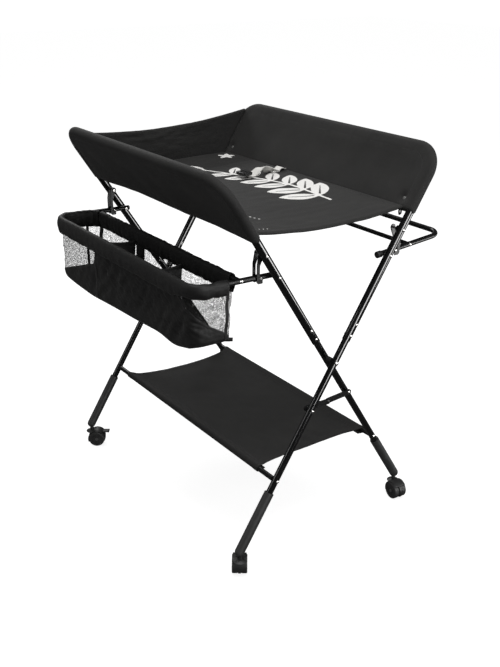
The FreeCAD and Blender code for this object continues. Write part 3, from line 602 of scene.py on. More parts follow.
STITCHES, STITCH_SOCKETS = stitch_maker()
sewing_thread, _ = finished(
    "sewing_thread", (0.03, 0.03, 0.029), (0.06, 0.06, 0.058), 0.6, 3000, 0.6, 0.1, 0.4
)


def sewn(name, lines, pitch=0.0042):
    """One mesh of stitches along open lines of points."""
    points, edges = [], []
    for line in lines:
        first = len(points)
        points += [tuple(p) for p in line]
        edges += [(first + i, first + i + 1) for i in range(len(line) - 1)]
    mesh = bpy.data.meshes.new(name + "_lines")
    mesh.from_pydata(points, edges, [])
    carrier = link_mesh(name + "_lines", mesh)
    laid = carrier.modifiers.new("lay_stitches", "NODES")
    laid.node_group = STITCHES
    laid[STITCH_SOCKETS["Pitch"]] = pitch
    laid[STITCH_SOCKETS["Stitch Length"]] = pitch * 0.74
    laid[STITCH_SOCKETS["Thread Radius"]] = 0.00035
    laid[STITCH_SOCKETS["Thread"]] = sewing_thread
    graph = bpy.context.evaluated_depsgraph_get()
    made = bpy.data.meshes.new_from_object(carrier.evaluated_get(graph))
    bpy.data.objects.remove(carrier)
    made.polygons.foreach_set("use_smooth", [True] * len(made.polygons))
    return link_mesh(name, made)


def spaced_edge(reach, step, fine):
    """Distances in from an edge: close together first, to round it, then even."""
    first = [fine * (1 - math.cos(math.pi * k / 10)) for k in range(11)]
    count = max(2, round((reach - first[-1]) / step))
    rest = [first[-1] + (reach - first[-1]) * k / count for k in range(1, count + 1)]
    return np.array(first + rest)


def wall_half(inward):
    """Half the padding's thickness, from the tube it covers inwards."""
    return WALL_HALF + (CLOTHED_RADIUS - WALL_HALF) * math.exp(-((inward / 0.06) ** 2))


SNAP_LOW, SNAP_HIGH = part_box("wall_snaps")
SNAP_RADIUS = 0.006
SNAP_X = SNAP_HIGH.x - SNAP_RADIUS
SNAP_Z = (SNAP_LOW.z + SNAP_HIGH.z) / 2
PINCHED_HALF = 0.0040
PINCH_REACH = 0.010
WALL_STEP = 0.0055
FOOT_ROUND = 0.006
BOW_REACH = 0.03


def snap_pinch(frame_name, x, z):
    """One at a press stud, which squeezes the padding flat, and none away from it."""
    if frame_name != "outer":
        return 0.0
    return math.exp(-(((abs(x) - SNAP_X) ** 2 + (z - SNAP_Z) ** 2) / PINCH_REACH**2))


def wall_bow(frame_name, u, v, inward):
    """How far the padding bows out of its plane, which is nothing over the tube."""
    spot = (u, v, 3.0 * OUTWARD[frame_name])
    bow = 0.0035 * fuzz(spot, 5, 1) + 0.0012 * fuzz(spot, 17, 2)
    bow *= min(1.0, max(inward - CLOTHED_RADIUS, 0) / BOW_REACH)
    return bow


def wall_thickness(inward, u, v):
    """Half the wall's thickness: round over the tube, then padded and seamed."""
    if inward <= 0:
        return math.sqrt(max(CLOTHED_RADIUS**2 - min(inward, 0) ** 2, 0))
    groove = SEAM_DEPTH * math.exp(-(((inward - SEAM_IN) / 0.003) ** 2))
    drag = math.exp(-max(inward, 0) / 0.03)
    ripple = 0.0007 * drag * fuzz((u * 3, v * 0.6, 0), 26, 5)
    return wall_half(inward) - groove + ripple


def seam_path(leg_x, bar, foot):
    """The seam inside the tube: up one leg, round the bends and down the other."""
    radius = BEND_RADIUS - SEAM_IN
    x_in, v_in = leg_x - SEAM_IN, bar - SEAM_IN
    bend = np.linspace(0, math.pi / 2, 14)
    path = [(-x_in, v) for v in np.linspace(foot + 0.004, v_in - radius, 12)]
    path += [
        (-x_in + radius - radius * math.cos(t), v_in - radius + radius * math.sin(t))
        for t in bend[1:]
    ]
    path += [(x, v_in) for x in np.linspace(-x_in + radius, x_in - radius, 60)[1:-1]]
    path += [
        (x_in - radius + radius * math.sin(t), v_in - radius + radius * math.cos(t))
        for t in bend[:-1]
    ]
    return path + [(x_in, v) for v in np.linspace(v_in - radius, foot + 0.004, 12)]


def make_side_wall(frame_name):
    up, out = LEG_UP[frame_name], faces_normal(frame_name)
    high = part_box(f"{frame_name}_top_frame")[1]
    leg_x = high.x - TUBE_RADIUS
    bar = (high.z - TUBE_RADIUS * abs(up.y) - PIVOT.z) / up.z
    foot = (WALL_FOOT_Z - PIVOT.z) / up.z
    reach = leg_x + CLOTHED_RADIUS
    from_side = spaced_edge(reach, WALL_STEP, CLOTHED_RADIUS)
    across = np.concatenate([-reach + from_side, (reach - from_side)[-2::-1]])
    full = bar + CLOTHED_RADIUS - foot
    from_top = spaced_edge(full, WALL_STEP, CLOTHED_RADIUS)
    hem = 1 - np.array([0.0, 0.0012, 0.004, 0.009])[::-1] / full
    share = np.concatenate([from_top[from_top < full - 0.011] / full, hem])
    rounded = BEND_RADIUS + CLOTHED_RADIUS
    middle = np.zeros((len(share), len(across), 3))
    half = np.zeros(middle.shape[:2])
    for j, u in enumerate(across):
        over = max(abs(u) - (reach - rounded), 0)
        edge = full - (rounded - math.sqrt(max(rounded**2 - over**2, 0)))
        for i, part in enumerate(share):
            v = foot + edge * (1 - part)
            q = (abs(u) - (leg_x - BEND_RADIUS), v - (bar - BEND_RADIUS))
            corner = math.hypot(max(q[0], 0), max(q[1], 0))
            inward = BEND_RADIUS - corner - min(max(q), 0)
            ends = min(1.0, math.sqrt(max(v - foot, 0) / FOOT_ROUND))
            half[i, j] = wall_thickness(inward, u, v) * ends
            pinch = snap_pinch(frame_name, u, PIVOT.z + up.z * v)
            half[i, j] += (min(half[i, j], PINCHED_HALF) - half[i, j]) * pinch
            bow = wall_bow(frame_name, u, v, inward) * (1 - pinch)
            middle[i, j] = PIVOT + Vector((u, 0, 0)) + up * v + out * bow
    wall = padded_mesh(f"{frame_name}_wall_cloth", middle, half, tray_cloth)
    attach(wall, f"{frame_name}_frame")
    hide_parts(f"{frame_name}_side_wall")
    proud = wall_half(SEAM_IN) - SEAM_DEPTH + 0.0001
    lines = []
    for face in (1, -1):
        line = []
        for u, v in seam_path(leg_x, bar, foot):
            off = wall_bow(frame_name, u, v, SEAM_IN) + face * proud
            line.append(PIVOT + Vector((u, 0, 0)) + up * v + out * off)
        lines.append(line)
    stitches = sewn(f"{frame_name}_wall_stitches", lines)
    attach(stitches, f"{frame_name}_frame")


make_side_wall("outer")
make_side_wall("inner")

# --- Bed -----------------------------------------------------------------------
# One thin quilted panel between the two walls, sewn to them along its long
# edges, hemmed at the open foot. A pale leafy sprig is screen printed on it.
BED_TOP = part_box("bed_panel")[1].z
BED_LOW, BED_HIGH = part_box("bed_panel")
BED_HALF = 0.0042
BED_SAG = 0.008
FOOT_SAG = 0.010
FOOT_SLANT = 0.033


def bed_height(x, y):
    """The sagging middle surface of the bed."""
    side = 1 - (y / 0.215) ** 2
    foot = max(0.0, (x + 0.05) / 0.385)
    sag = (BED_SAG + FOOT_SAG * foot**2) * side * min(1, (x - BED_LOW.x) / 0.10)
    crease = 0.0016 * fuzz((x, y, 0), 9, 4) + 0.0008 * fuzz((x * 2, y, 0), 24, 6)
    return BED_TOP - BED_HALF - 0.0008 - sag + crease * min(1, max(side, 0) * 3)


def stroke(point, start, end, thick, thin):
    """Distance to a tapering painted stroke; below zero is inside it."""
    p, a, b = Vector(point), Vector(start), Vector(end)
    along = max(0.0, min(1.0, (p - a).dot(b - a) / (b - a).length_squared))
    return (p - a - (b - a) * along).length - (thick + (thin - thick) * along)


def leaf_mark(point, root, turn, length, width):
    """Below zero inside a pointed leaf, with its middle rib left bare."""
    x, y = point[0] - root[0], point[1] - root[1]
    along = x * math.cos(turn) + y * math.sin(turn)
    across = abs(y * math.cos(turn) - x * math.sin(turn))
    side_radius = (length**2 + width**2) / (4 * width)
    leaf = math.hypot(along - length / 2, across + side_radius - width / 2) - side_radius
    rib = across - 0.0032 * (1 - 0.6 * along / length)
    rib_end = abs(along - 0.45 * length) - 0.33 * length
    return max(leaf, -max(rib, rib_end))


def flower_mark(point, centre, radius):
    """Below zero inside a small flower of five round petals."""
    x, y = point[0] - centre[0], point[1] - centre[1]
    edge = radius * (0.74 + 0.26 * math.cos(5 * math.atan2(y, x)))
    return math.hypot(x, y) - edge


# A leafy sprig lies along the bed. Its stem is one long bow, and its leaves
# stand in pairs that get shorter towards the tip.
STEM_FOOT = (0.205, 0.125)
STEM_LENGTH = 0.43
STEM_SLANT = 0.085
STEM_BOW = 0.035
STEM_THICK, STEM_THIN = 0.0040, 0.0034
LEAF_PAIRS = 6
LEAF_SHAPE = 0.44


def stem_point(share):
    """A place along the stem, from its cut end to its tip."""
    bow = STEM_BOW * math.sin(math.pi * share)
    return STEM_FOOT[0] - STEM_LENGTH * share, STEM_FOOT[1] - STEM_SLANT * share + bow


STEM = [stem_point(k / 16) for k in range(17)]
LEAVES = [(STEM[-1], math.pi + 0.3, 0.072, 0.034)]
for pair in range(LEAF_PAIRS):
    leaf_share = 0.10 + 0.84 * pair / LEAF_PAIRS
    leaf_length = 0.106 - 0.040 * pair / LEAF_PAIRS
    for hand in (1, -1):
        lean = math.pi + 0.2 + hand * 0.92
        LEAVES.append((stem_point(leaf_share), lean, leaf_length, leaf_length * LEAF_SHAPE))
# A flower at the head end, and two short rows of plain dots at the foot.
FOOT_DOTS = [((0.216 + 0.012 * k, -0.131 + 0.004 * k), 0.0030) for k in range(3)]
FOOT_DOTS += [((0.312, -0.188 + 0.011 * k), 0.0020) for k in range(4)]
HEAD_FLOWER = ((-0.315, 0.178), 0.026)


def print_edge(point):
    """Below zero where the bed is printed white."""
    stem = min(
        stroke(point, *ends, STEM_THICK, STEM_THIN) for ends in zip(STEM, STEM[1:])
    )
    leaves = min(leaf_mark(point, *leaf) for leaf in LEAVES)
    flower = flower_mark(point, *HEAD_FLOWER)
    dots = min(math.dist(point, centre) - radius for centre, radius in FOOT_DOTS)
    return min(stem, leaves, flower, dots)


bed_cloth, bed_tree, bed_shader, bed_weave = cloth(
    "bed_printed_cloth",
    (0.011, 0.0107, 0.0103),
    (0.027, 0.026, 0.0245),
    1250,
    0.55,
    0.72,
    0.3,
    0.06,
)
printed = add(bed_tree, "ShaderNodeAttribute", attribute_name="print_edge")
ink = add(bed_tree, "ShaderNodeMapRange", interpolation_type="SMOOTHSTEP")
ink.inputs["From Min"].default_value = 0.0003
ink.inputs["From Max"].default_value = -0.0003
bed_tree.links.new(printed.outputs["Fac"], ink.inputs["Value"])
crackle = add(bed_tree, "ShaderNodeTexNoise", Scale=650.0, Detail=3.0)
bed_place = bed_tree.nodes.new("ShaderNodeTexCoord").outputs["Object"]
bed_tree.links.new(bed_place, crackle.inputs["Vector"])
worn_ink = add(bed_tree, "ShaderNodeMapRange")
worn_ink.inputs["From Min"].default_value = 0.25
worn_ink.inputs["From Max"].default_value = 0.45
worn_ink.inputs["To Min"].default_value = 0.75
bed_tree.links.new(crackle.outputs["Fac"], worn_ink.inputs["Value"])
ink_amount = add(bed_tree, "ShaderNodeMath", operation="MULTIPLY")
bed_tree.links.new(ink.outputs["Result"], ink_amount.inputs[0])
bed_tree.links.new(worn_ink.outputs["Result"], ink_amount.inputs[1])
bed_colour = add(bed_tree, "ShaderNodeMix", data_type="RGBA")
bed_tree.links.new(ink_amount.outputs[0], bed_colour.inputs["Factor"])
bed_tree.links.new(bed_weave.outputs["Color"], bed_colour.inputs["A"])
bed_colour.inputs["B"].default_value = (0.78, 0.77, 0.75, 1)
bed_tree.links.new(bed_colour.outputs["Result"], bed_shader.inputs["Base Color"])


def tray_half_width(z, off):
    """From the middle to the inner side of a wall, at a height."""
    up = LEG_UP["outer"]
    return (z - PIVOT.z) * up.y / up.z - off / up.z


def folds_with_tray(piece):
    """Bakes the piece's placement into its mesh, and does nothing more."""
    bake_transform(piece)


def foot_shift(x, y, edge):
    """The open foot runs slantwise between the legs, and bows in a little."""
    share = max(0.0, x / (BED_HIGH.x - FOOT_SLANT))
    return share**2 * (FOOT_SLANT * (0.5 + 0.5 * y / edge) - 0.005 * (1 - (y / edge) ** 2))


def make_bed():
    edge = tray_half_width(BED_TOP - 0.005, WALL_HALF + 0.0006)
    long = BED_HIGH.x - FOOT_SLANT - BED_LOW.x
    step = np.linspace(0.02, long - 0.02, 168)
    rim = np.array([0, 0.0006, 0.0018, 0.004, 0.0075, 0.013])
    xs = np.concatenate([BED_LOW.x + rim, BED_LOW.x + step, BED_LOW.x + long - rim[::-1]])
    wide = np.linspace(-1, 1, 112)
    rim_y = np.array([0, 0.002, 0.006, 0.012])
    ys = np.concatenate([-edge + rim_y, wide * (edge - 0.016), edge - rim_y[::-1]])
    middle = np.zeros((len(ys), len(xs), 3))
    half = np.zeros(middle.shape[:2])
    mark = np.zeros(middle.shape[:2])
    for i, y in enumerate(ys):
        for j, level_x in enumerate(xs):
            foot_gap = BED_LOW.x + long - level_x
            inward = min(level_x - BED_LOW.x, foot_gap)
            x = level_x + foot_shift(level_x, y, edge)
            side = edge - abs(y)
            hem = 0.0012 * math.exp(-(((foot_gap - 0.017) / 0.003) ** 2))
            hem += 0.0012 * math.exp(-(((side - 0.012) / 0.003) ** 2))
            half[i, j] = (BED_HALF - hem) * math.sqrt(min(1, inward / 0.0045))
            half[i, j] *= math.sqrt(min(1, (side + 0.001) / 0.004))
            middle[i, j] = (x, y, bed_height(x, y))
            mark[i, j] = print_edge((x, y))
    bed = padded_mesh("bed_cloth", middle, half, bed_cloth, {"print_edge": mark})
    folds_with_tray(bed)
    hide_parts("bed_panel")
    lines = []
    hem_line = []
    for y in np.linspace(-edge + 0.01, edge - 0.01, 90):
        level_x = BED_LOW.x + long - 0.017
        x = level_x + foot_shift(level_x, y, edge)
        hem_line.append((x, y, bed_height(x, y) + BED_HALF - 0.001))
    lines.append(hem_line)
    for way in (1, -1):
        y = way * (edge - 0.012)
        lines.append(
            [
                (x, y, bed_height(x, y) + BED_HALF - 0.001)
                for x in np.linspace(BED_LOW.x + 0.01, BED_HIGH.x - FOOT_SLANT - 0.02, 120)
            ]
        )
    stitches = sewn("bed_stitches", lines)
    folds_with_tray(stitches)


make_bed()

# --- Head wall -------------------------------------------------------------------
# A lightly padded end wall, sewn to the bed and to the far edges of both side
# walls, with a bound top edge that dips between them where the cloth pulls.
HEAD_LOW, HEAD_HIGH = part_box("head_wall")
HEAD_DIP = 0.019
HEAD_BASKET_END = 0.014
HEAD_HALF = 0.0034
BINDING_RADIUS = 0.0036


def head_wall_point(part, rise):
    """part runs from the basket side to the rack side, rise from bed to top."""
    top = HEAD_HIGH.z + 0.003 - HEAD_BASKET_END * (1 - part)
    top -= HEAD_DIP * (1 - (2 * part - 1) ** 2)
    z = HEAD_LOW.z + (top - HEAD_LOW.z) * rise
    y = tray_half_width(z, CLOTHED_RADIUS + 0.0004) * (2 * part - 1)
    slack = math.sin(math.pi * part) * rise
    x = (HEAD_LOW.x + HEAD_HIGH.x) / 2 + 0.010 * slack
    x += 0.0045 * slack * fuzz((y * 0.7, z * 2.4, 0), 14, 8)
    x += 0.0024 * slack * fuzz((y * 0.8, z * 3.0, 0), 34, 9)
    return Vector((x, y, z))


def make_head_wall():
    parts = np.linspace(0, 1, 130)
    rises = np.concatenate([np.linspace(0, 0.96, 36), [0.975, 0.99, 1.0]])
    middle = np.array([[head_wall_point(p, r) for p in parts] for r in rises])
    half = np.zeros(middle.shape[:2])
    for i, r in enumerate(rises):
        for j, p in enumerate(parts):
            crown = math.sqrt(max(0.0, min(1, min(p, 1 - p) / 0.012)))
            quilt = 1 + 0.35 * math.sin(math.pi * r) * math.sin(math.pi * p)
            half[i, j] = HEAD_HALF * quilt * (0.25 + 0.75 * crown)
    wall = padded_mesh("head_wall_cloth", middle, half, tray_cloth)
    folds_with_tray(wall)
    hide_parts("head_wall")
    ridge = [head_wall_point(p, 0.985) for p in np.linspace(0.004, 0.996, 130)]
    binding = tape_round("head_wall_binding", ridge, BINDING_RADIUS, 0.0052)
    folds_with_tray(binding)
    lines = []
    for face in (1, -1):
        line = []
        for p in np.linspace(0.01, 0.99, 120):
            point = head_wall_point(p, 0.955)
            line.append(point + Vector((face * (HEAD_HALF + 0.0008), 0, 0)))
        lines.append(line)
    stitches = sewn("head_wall_stitches", lines)
    folds_with_tray(stitches)


def tape_round(name, path, half_wide, half_tall, material=None, up=(0, 0, 1), closed=False):
    """A soft binding or cord of oval section along a path of points."""
    path = [Vector(p) for p in path]
    count = len(path)
    ring_size = 12
    points, across = [], []
    for k, point in enumerate(path):
        before = path[(k - 1) % count if closed else max(k - 1, 0)]
        after = path[(k + 1) % count if closed else min(k + 1, count - 1)]
        way = (after - before).normalized()
        side = way.cross(Vector(up)).normalized()
        over = side.cross(way).normalized()
        for t in range(ring_size):
            angle = 2 * math.pi * t / ring_size
            swell = 1 + 0.06 * fuzz(point, 160, t)
            points.append(
                point
                + side * (half_wide * swell * math.cos(angle))
                + over * (half_tall * swell * math.sin(angle))
            )
    faces = []
    rings = count if closed else count - 1
    for k in range(rings):
        nxt = (k + 1) % count
        for t in range(ring_size):
            u = (t + 1) % ring_size
            faces.append(
                (k * ring_size + t, k * ring_size + u, nxt * ring_size + u, nxt * ring_size + t)
            )
    if not closed:
        faces.append(tuple(range(ring_size))[::-1])
        faces.append(tuple((count - 1) * ring_size + t for t in range(ring_size)))
    mesh = bpy.data.meshes.new(name)
    mesh.from_pydata([tuple(p) for p in points], [], faces)
    length = 0.0
    lengths = [0.0]
    for one, other in zip(path, path[1:]):
        length += (other - one).length
        lengths.append(length)
    girth = math.pi * (half_wide + half_tall)
    layer = mesh.uv_layers.new(name="weave")
    for loop in mesh.loops:
        k, t = divmod(loop.vertex_index, ring_size)
        layer.data[loop.index].uv = (lengths[k], girth * t / ring_size)
    shape = bmesh.new()
    shape.from_mesh(mesh)
    bmesh.ops.recalc_face_normals(shape, faces=shape.faces)
    shape.to_mesh(mesh)
    shape.free()
    mesh.polygons.foreach_set("use_smooth", [True] * len(mesh.polygons))
    mesh.materials.append(material or tray_cloth)
    return link_mesh(name, mesh)


make_head_wall()

# --- Safety belt -------------------------------------------------------------------
# White woven webbing sewn into the bed's edge seam, looped through a moulded
# ladder-lock slider, with a black side-release buckle on its free end.
BELT_LOW, BELT_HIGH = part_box("belt_webbing")
BUCKLE_LOW, BUCKLE_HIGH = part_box("belt_buckle")
SLIDER_LOW, SLIDER_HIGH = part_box("belt_slider")
BELT_MIDDLE_X = (BELT_LOW.x + BELT_HIGH.x) / 2
WEBBING_HALF = 0.0008
belt_webbing = cloth(
    "belt_webbing", (0.62, 0.61, 0.58), (0.80, 0.79, 0.77), 900, 0.7, 0.62, 0.6, 0.1
)[0]
slider_white, _ = finished(
    "slider_plastic", (0.70, 0.70, 0.68), (0.6, 0.6, 0.58), 0.4, 1500, 0.28, 0.1, 0.2
)
buckle_black, _ = finished(
    "buckle_plastic", (0.013, 0.013, 0.013), (0.03, 0.03, 0.03), 0.4, 1600, 0.25, 0.12, 0.25
)


def rounded_block(name, low, high, radius, material, cuts=()):
    """A moulded block with soft edges, and slots cut through it."""
    mesh = bpy.data.meshes.new(name)
    shape = bmesh.new()
    bmesh.ops.create_cube(shape, size=1.0)
    size, centre = Vector(high) - Vector(low), (Vector(high) + Vector(low)) / 2
    bmesh.ops.scale(shape, vec=size, verts=shape.verts)
    bmesh.ops.translate(shape, vec=centre, verts=shape.verts)
    bmesh.ops.bevel(
        shape, geom=shape.edges[:], offset=radius, segments=4, affect="EDGES", profile=0.5
    )
    shape.to_mesh(mesh)
    shape.free()
    block = link_mesh(name, mesh)
    for index, (cut_low, cut_high) in enumerate(cuts):
        cutter = rounded_block(f"{name}_cut_{index}", cut_low, cut_high, 0.0006, material)
        hollow = block.modifiers.new("slot", "BOOLEAN")
        hollow.operation = "DIFFERENCE"
        hollow.object = cutter
        graph = bpy.context.evaluated_depsgraph_get()
        made = bpy.data.meshes.new_from_object(block.evaluated_get(graph))
        block.modifiers.clear()
        block.data = made
        bpy.data.objects.remove(cutter)
    block.data.materials.clear()
    block.data.materials.append(material)
    return block


def make_belt():
    seam_y, end_y = BELT_HIGH.y, BUCKLE_HIGH.y - 0.008
    half_wide = (BELT_HIGH.x - BELT_LOW.x) / 2
    steps = np.linspace(0, 1, 72)
    across = np.linspace(-1, 1, 9)
    middle = np.zeros((len(across), len(steps), 3))
    for j, t in enumerate(steps):
        y = seam_y + (end_y - seam_y) * t
        hump = 0.016 * math.exp(-(((t - 0.66) / 0.12) ** 2))
        hump += 0.006 * math.exp(-(((t - 0.12) / 0.08) ** 2))
        lean = 0.95 * math.sin(1.9 * math.pi * (t - 0.16)) * math.exp(-(((t - 0.55) / 0.26) ** 2))
        drift = 0.006 * math.sin(math.pi * t)
        base = bed_height(BELT_MIDDLE_X, y) + BED_HALF + 0.0018 + hump
        base += abs(math.sin(lean)) * half_wide * 0.8
        for i, w in enumerate(across):
            x = BELT_MIDDLE_X + drift + w * half_wide * math.cos(lean)
            middle[i, j] = (x, y, base + w * half_wide * math.sin(lean))
    strap = padded_mesh("belt_strap", middle, WEBBING_HALF, belt_webbing)
    folds_with_tray(strap)
    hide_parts("belt_webbing")
    lock_y = (SLIDER_LOW.y + SLIDER_HIGH.y) / 2 + 0.022
    lock_z = bed_height(BELT_MIDDLE_X, lock_y) + BED_HALF + 0.0008
    half = (0.0165, 0.012, 0.0026)
    bars = []
    for offset in (-0.0058, 0.0058):
        bars.append(
            (
                (BELT_MIDDLE_X - 0.0132, lock_y + offset - 0.0026, lock_z - 0.01),
                (BELT_MIDDLE_X + 0.0132, lock_y + offset + 0.0026, lock_z + 0.02),
            )
        )
    lock = rounded_block(
        "belt_ladder_lock",
        (BELT_MIDDLE_X - half[0], lock_y - half[1], lock_z),
        (BELT_MIDDLE_X + half[0], lock_y + half[1], lock_z + 2 * half[2]),
        0.0011,
        slider_white,
        bars,
    )
    folds_with_tray(lock)
    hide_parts("belt_slider")
    low, high = BUCKLE_LOW.copy(), BUCKLE_HIGH.copy()
    low.z = high.z - 0.0092
    middle_x, long_y = (low.x + high.x) / 2, high.y - low.y
    body = rounded_block(
        "belt_buckle_body",
        (middle_x - 0.0165, low.y + 0.002, low.z),
        (middle_x + 0.0165, high.y, high.z),
        0.0022,
        buckle_black,
        [
            (
                (middle_x - 0.0095, low.y + long_y * 0.30, high.z - 0.002),
                (middle_x + 0.0095, low.y + long_y * 0.62, high.z + 0.01),
            ),
        ],
    )
    folds_with_tray(body)
    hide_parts("belt_buckle")
    for way in (1, -1):
        prong = rounded_block(
            f"belt_buckle_prong_{'a' if way > 0 else 'b'}",
            (middle_x + way * 0.0185 - 0.0026, low.y + long_y * 0.22, low.z + 0.002),
            (middle_x + way * 0.0185 + 0.0026, low.y + long_y * 0.68, high.z - 0.002),
            0.0018,
            buckle_black,
        )
        folds_with_tray(prong)


make_belt()

# --- Press studs and hanging loop -----------------------------------------------------
# Press studs with worn gunmetal caps hold the outer wall's bottom corners. A
# short loop of tape is sewn under the bed's corner beside the near one.
snap_metal, _ = finished(
    "snap_gunmetal", (0.22, 0.22, 0.215), (0.42, 0.42, 0.41), 0.8, 1500, 0.3, 0.2, 0.2, 0.6
)
coat_nodes(snap_metal, ("wall_snaps",))


def make_snap_cap(name, x):
    """The half of a press stud that shows in the tray: a dome with a rolled rim."""
    into_tray = -faces_normal("outer")
    seat = PIVOT + LEG_UP["outer"] * ((SNAP_Z - PIVOT.z) / LEG_UP["outer"].z)
    seat = Vector((x, seat.y, seat.z)) + into_tray * PINCHED_HALF
    beside = into_tray.cross(Vector((1, 0, 0)))
    rings = [(0.0060, -0.0012), (0.0062, 0.0004), (0.0058, 0.0010), (0.0051, 0.0008)]
    rings += [(0.0046, 0.0011), (0.0036, 0.0016), (0.0022, 0.0019), (0.0008, 0.0020)]
    around = 40
    shape = bmesh.new()
    rows = []
    for radius, proud in rings:
        row = []
        for k in range(around):
            turn = 2 * math.pi * k / around
            flat = Vector((1, 0, 0)) * math.cos(turn) + beside * math.sin(turn)
            row.append(shape.verts.new(seat + flat * radius + into_tray * proud))
        rows.append(row)
    for low, high in zip(rows, rows[1:]):
        for k in range(around):
            after = (k + 1) % around
            shape.faces.new((low[k], low[after], high[after], high[k]))
    shape.faces.new(rows[-1])
    shape.faces.new(rows[0][::-1])
    bmesh.ops.recalc_face_normals(shape, faces=shape.faces)
    mesh = bpy.data.meshes.new(name)
    shape.to_mesh(mesh)
    shape.free()
    mesh.polygons.foreach_set("use_smooth", [True] * len(mesh.polygons))
    mesh.materials.append(snap_metal)
    cap = link_mesh(name, mesh)
    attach(cap, "outer_frame")


make_snap_cap("snap_cap_near", SNAP_X)
make_snap_cap("snap_cap_far", -SNAP_X)


def make_hanging_loop():
    """A loop of tape that hangs from the bed's near corner."""
    top = Vector((BED_HIGH.x - 0.010, 0.213, BED_TOP - 0.010))
    path = []
    for t in np.linspace(0, 2 * math.pi, 26):
        drop = 0.016 * (1 - math.cos(t)) / 2
        path.append(top + Vector((0.0016 * math.sin(t), 0.002 * math.sin(t), -drop)))
    loop = tape_round("hanging_loop", path, 0.0007, 0.0030, up=(0, 1, 0.1))
    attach(loop, "outer_frame")


make_hanging_loop()

# --- Shelf ---------------------------------------------------------------------------
# A hammock of the same cloth with a sleeve sewn round each crossbar. Its short
# edges are hemmed and pull in a little between the bars.
_, SHELF_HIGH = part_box("shelf_panel")
FRONT_BAR_LOW, FRONT_BAR_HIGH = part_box("front_shelf_bar")
REAR_BAR_LOW, REAR_BAR_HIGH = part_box("rear_shelf_bar")
SHELF_HALF_CLOTH = 0.0007
SHELF_SAG = 0.007
shelf_cloth = cloth(
    "shelf_oxford_cloth", (0.0125, 0.012, 0.0115), (0.032, 0.031, 0.029), 1250, 0.6, 0.72, 0.3, 0.06
)[0]


def shelf_section():
    """From the front sleeve's seam, round the front bar, over, and round the rear."""
    front = (FRONT_BAR_LOW + FRONT_BAR_HIGH) / 2
    rear = (REAR_BAR_LOW + REAR_BAR_HIGH) / 2
    around = (FRONT_BAR_HIGH.z - FRONT_BAR_LOW.z) / 2 + 0.0010
    line = []
    for y in np.linspace(0.019, 0.0095, 5):
        line.append((front.y + y, front.z - 0.0040 - (0.019 - y) * 0.2, 0.0))
    for t in np.linspace(math.radians(-70), math.radians(-270), 18):
        line.append((front.y + around * math.cos(t), front.z + around * math.sin(t), 0.0))
    count = 64
    for k in range(1, count):
        t = k / count
        y = front.y + (rear.y - front.y) * t
        z = front.z + (rear.z - front.z) * t + around
        settle = min(1, t / 0.06, (1 - t) / 0.06)
        sag = SHELF_SAG * math.sin(math.pi * t) + settle * (around - 0.0024)
        line.append((y, z - sag, t))
    for t in np.linspace(math.radians(90), math.radians(-110), 18):
        line.append((rear.y + around * math.cos(t), rear.z + around * math.sin(t), 1.0))
    for y in np.linspace(0.0095, 0.019, 5):
        line.append((rear.y - y, rear.z - 0.0040 - (0.019 - y) * 0.2, 1.0))
    return line


def shelf_crease(x, y):
    """Soft creases of the shelf, away from its two sleeves."""
    return 0.0016 * fuzz((x, y * 2, 0), 7, 3) + 0.0007 * fuzz((x, y * 2, 0), 23, 4)


def make_shelf():
    section = shelf_section()
    reach = SHELF_HIGH.x
    hem = np.array([0.968, 0.985, 0.996, 1])
    parts = np.concatenate([-hem[::-1], np.linspace(-0.955, 0.955, 120), hem])
    middle = np.zeros((len(section), len(parts), 3))
    half = np.full(middle.shape[:2], SHELF_HALF_CLOTH)
    for i, (y, z, t) in enumerate(section):
        pull = 0.012 + 0.022 * (1 - (2 * t - 1) ** 4)
        for j, part in enumerate(parts):
            x = part * (reach - pull)
            free = math.sin(math.pi * t) ** 0.5 if 0 < t < 1 else 0.0
            crease = free * shelf_crease(x, y)
            gather = 0.0006 * fuzz((x * 3, y, 0), 40, 6) * (0 < t < 1) * (1 - free)
            middle[i, j] = (x, y, z + crease + gather)
            if abs(part) > 0.95:
                half[i, j] = SHELF_HALF_CLOTH * (1.9 if abs(part) < 0.997 else 1.2)
    shelf = padded_mesh("shelf_cloth", middle, half, shelf_cloth)
    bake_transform(shelf)
    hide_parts("shelf_panel")
    lines = []
    for seam_t in (0.052, 0.948):
        y, z, _ = min(section, key=lambda p: abs(p[2] - seam_t))
        line = []
        for x in np.linspace(-reach + 0.03, reach - 0.03, 150):
            free = math.sin(math.pi * seam_t) ** 0.5
            crease = free * shelf_crease(x, y)
            line.append((x, y, z + crease + SHELF_HALF_CLOTH + 0.0002))
        lines.append(line)
    stitches = sewn("shelf_stitches", lines)
    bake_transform(stitches)


make_shelf()

# --- Basket -----------------------------------------------------------------------------
# A polyester bag hung from the basket frame: net ends, back and far front, a
# cloth front and bottom, two dividers, and a gathered sleeve round the rim.
BASKET_JOINT = next(j for j in frame["joints"] if j["name"] == "basket_lift")
BASKET_ROOT = Vector(BASKET_JOINT["pos_m"])
BASKET_TILT = math.radians(2)
RIM_TUBE = 0.0065
RIM_OUT = BASKET_ROOT.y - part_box("basket_frame")[0].y - RIM_TUBE
RIM_BACK = 0.088
RIM_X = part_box("basket_cross_bar")[1].x + 0.0068
RIM_BEND = 0.038
BACK_CUT = 0.030
RIM_DROP = 0.036
BAG_HALF_CLOTH = 0.0006
DIVIDER_X = 0.110
basket_cloth = cloth(
    "basket_polyester", (0.0055, 0.0054, 0.0052), (0.018, 0.0177, 0.017), 1500, 0.65, 0.5, 0.3, 0.06
)[0]
binding_cloth = cloth(
    "binding_tape", (0.008, 0.008, 0.008), (0.022, 0.022, 0.021), 1100, 0.5, 0.6, 0.5, 0.08
)[0]


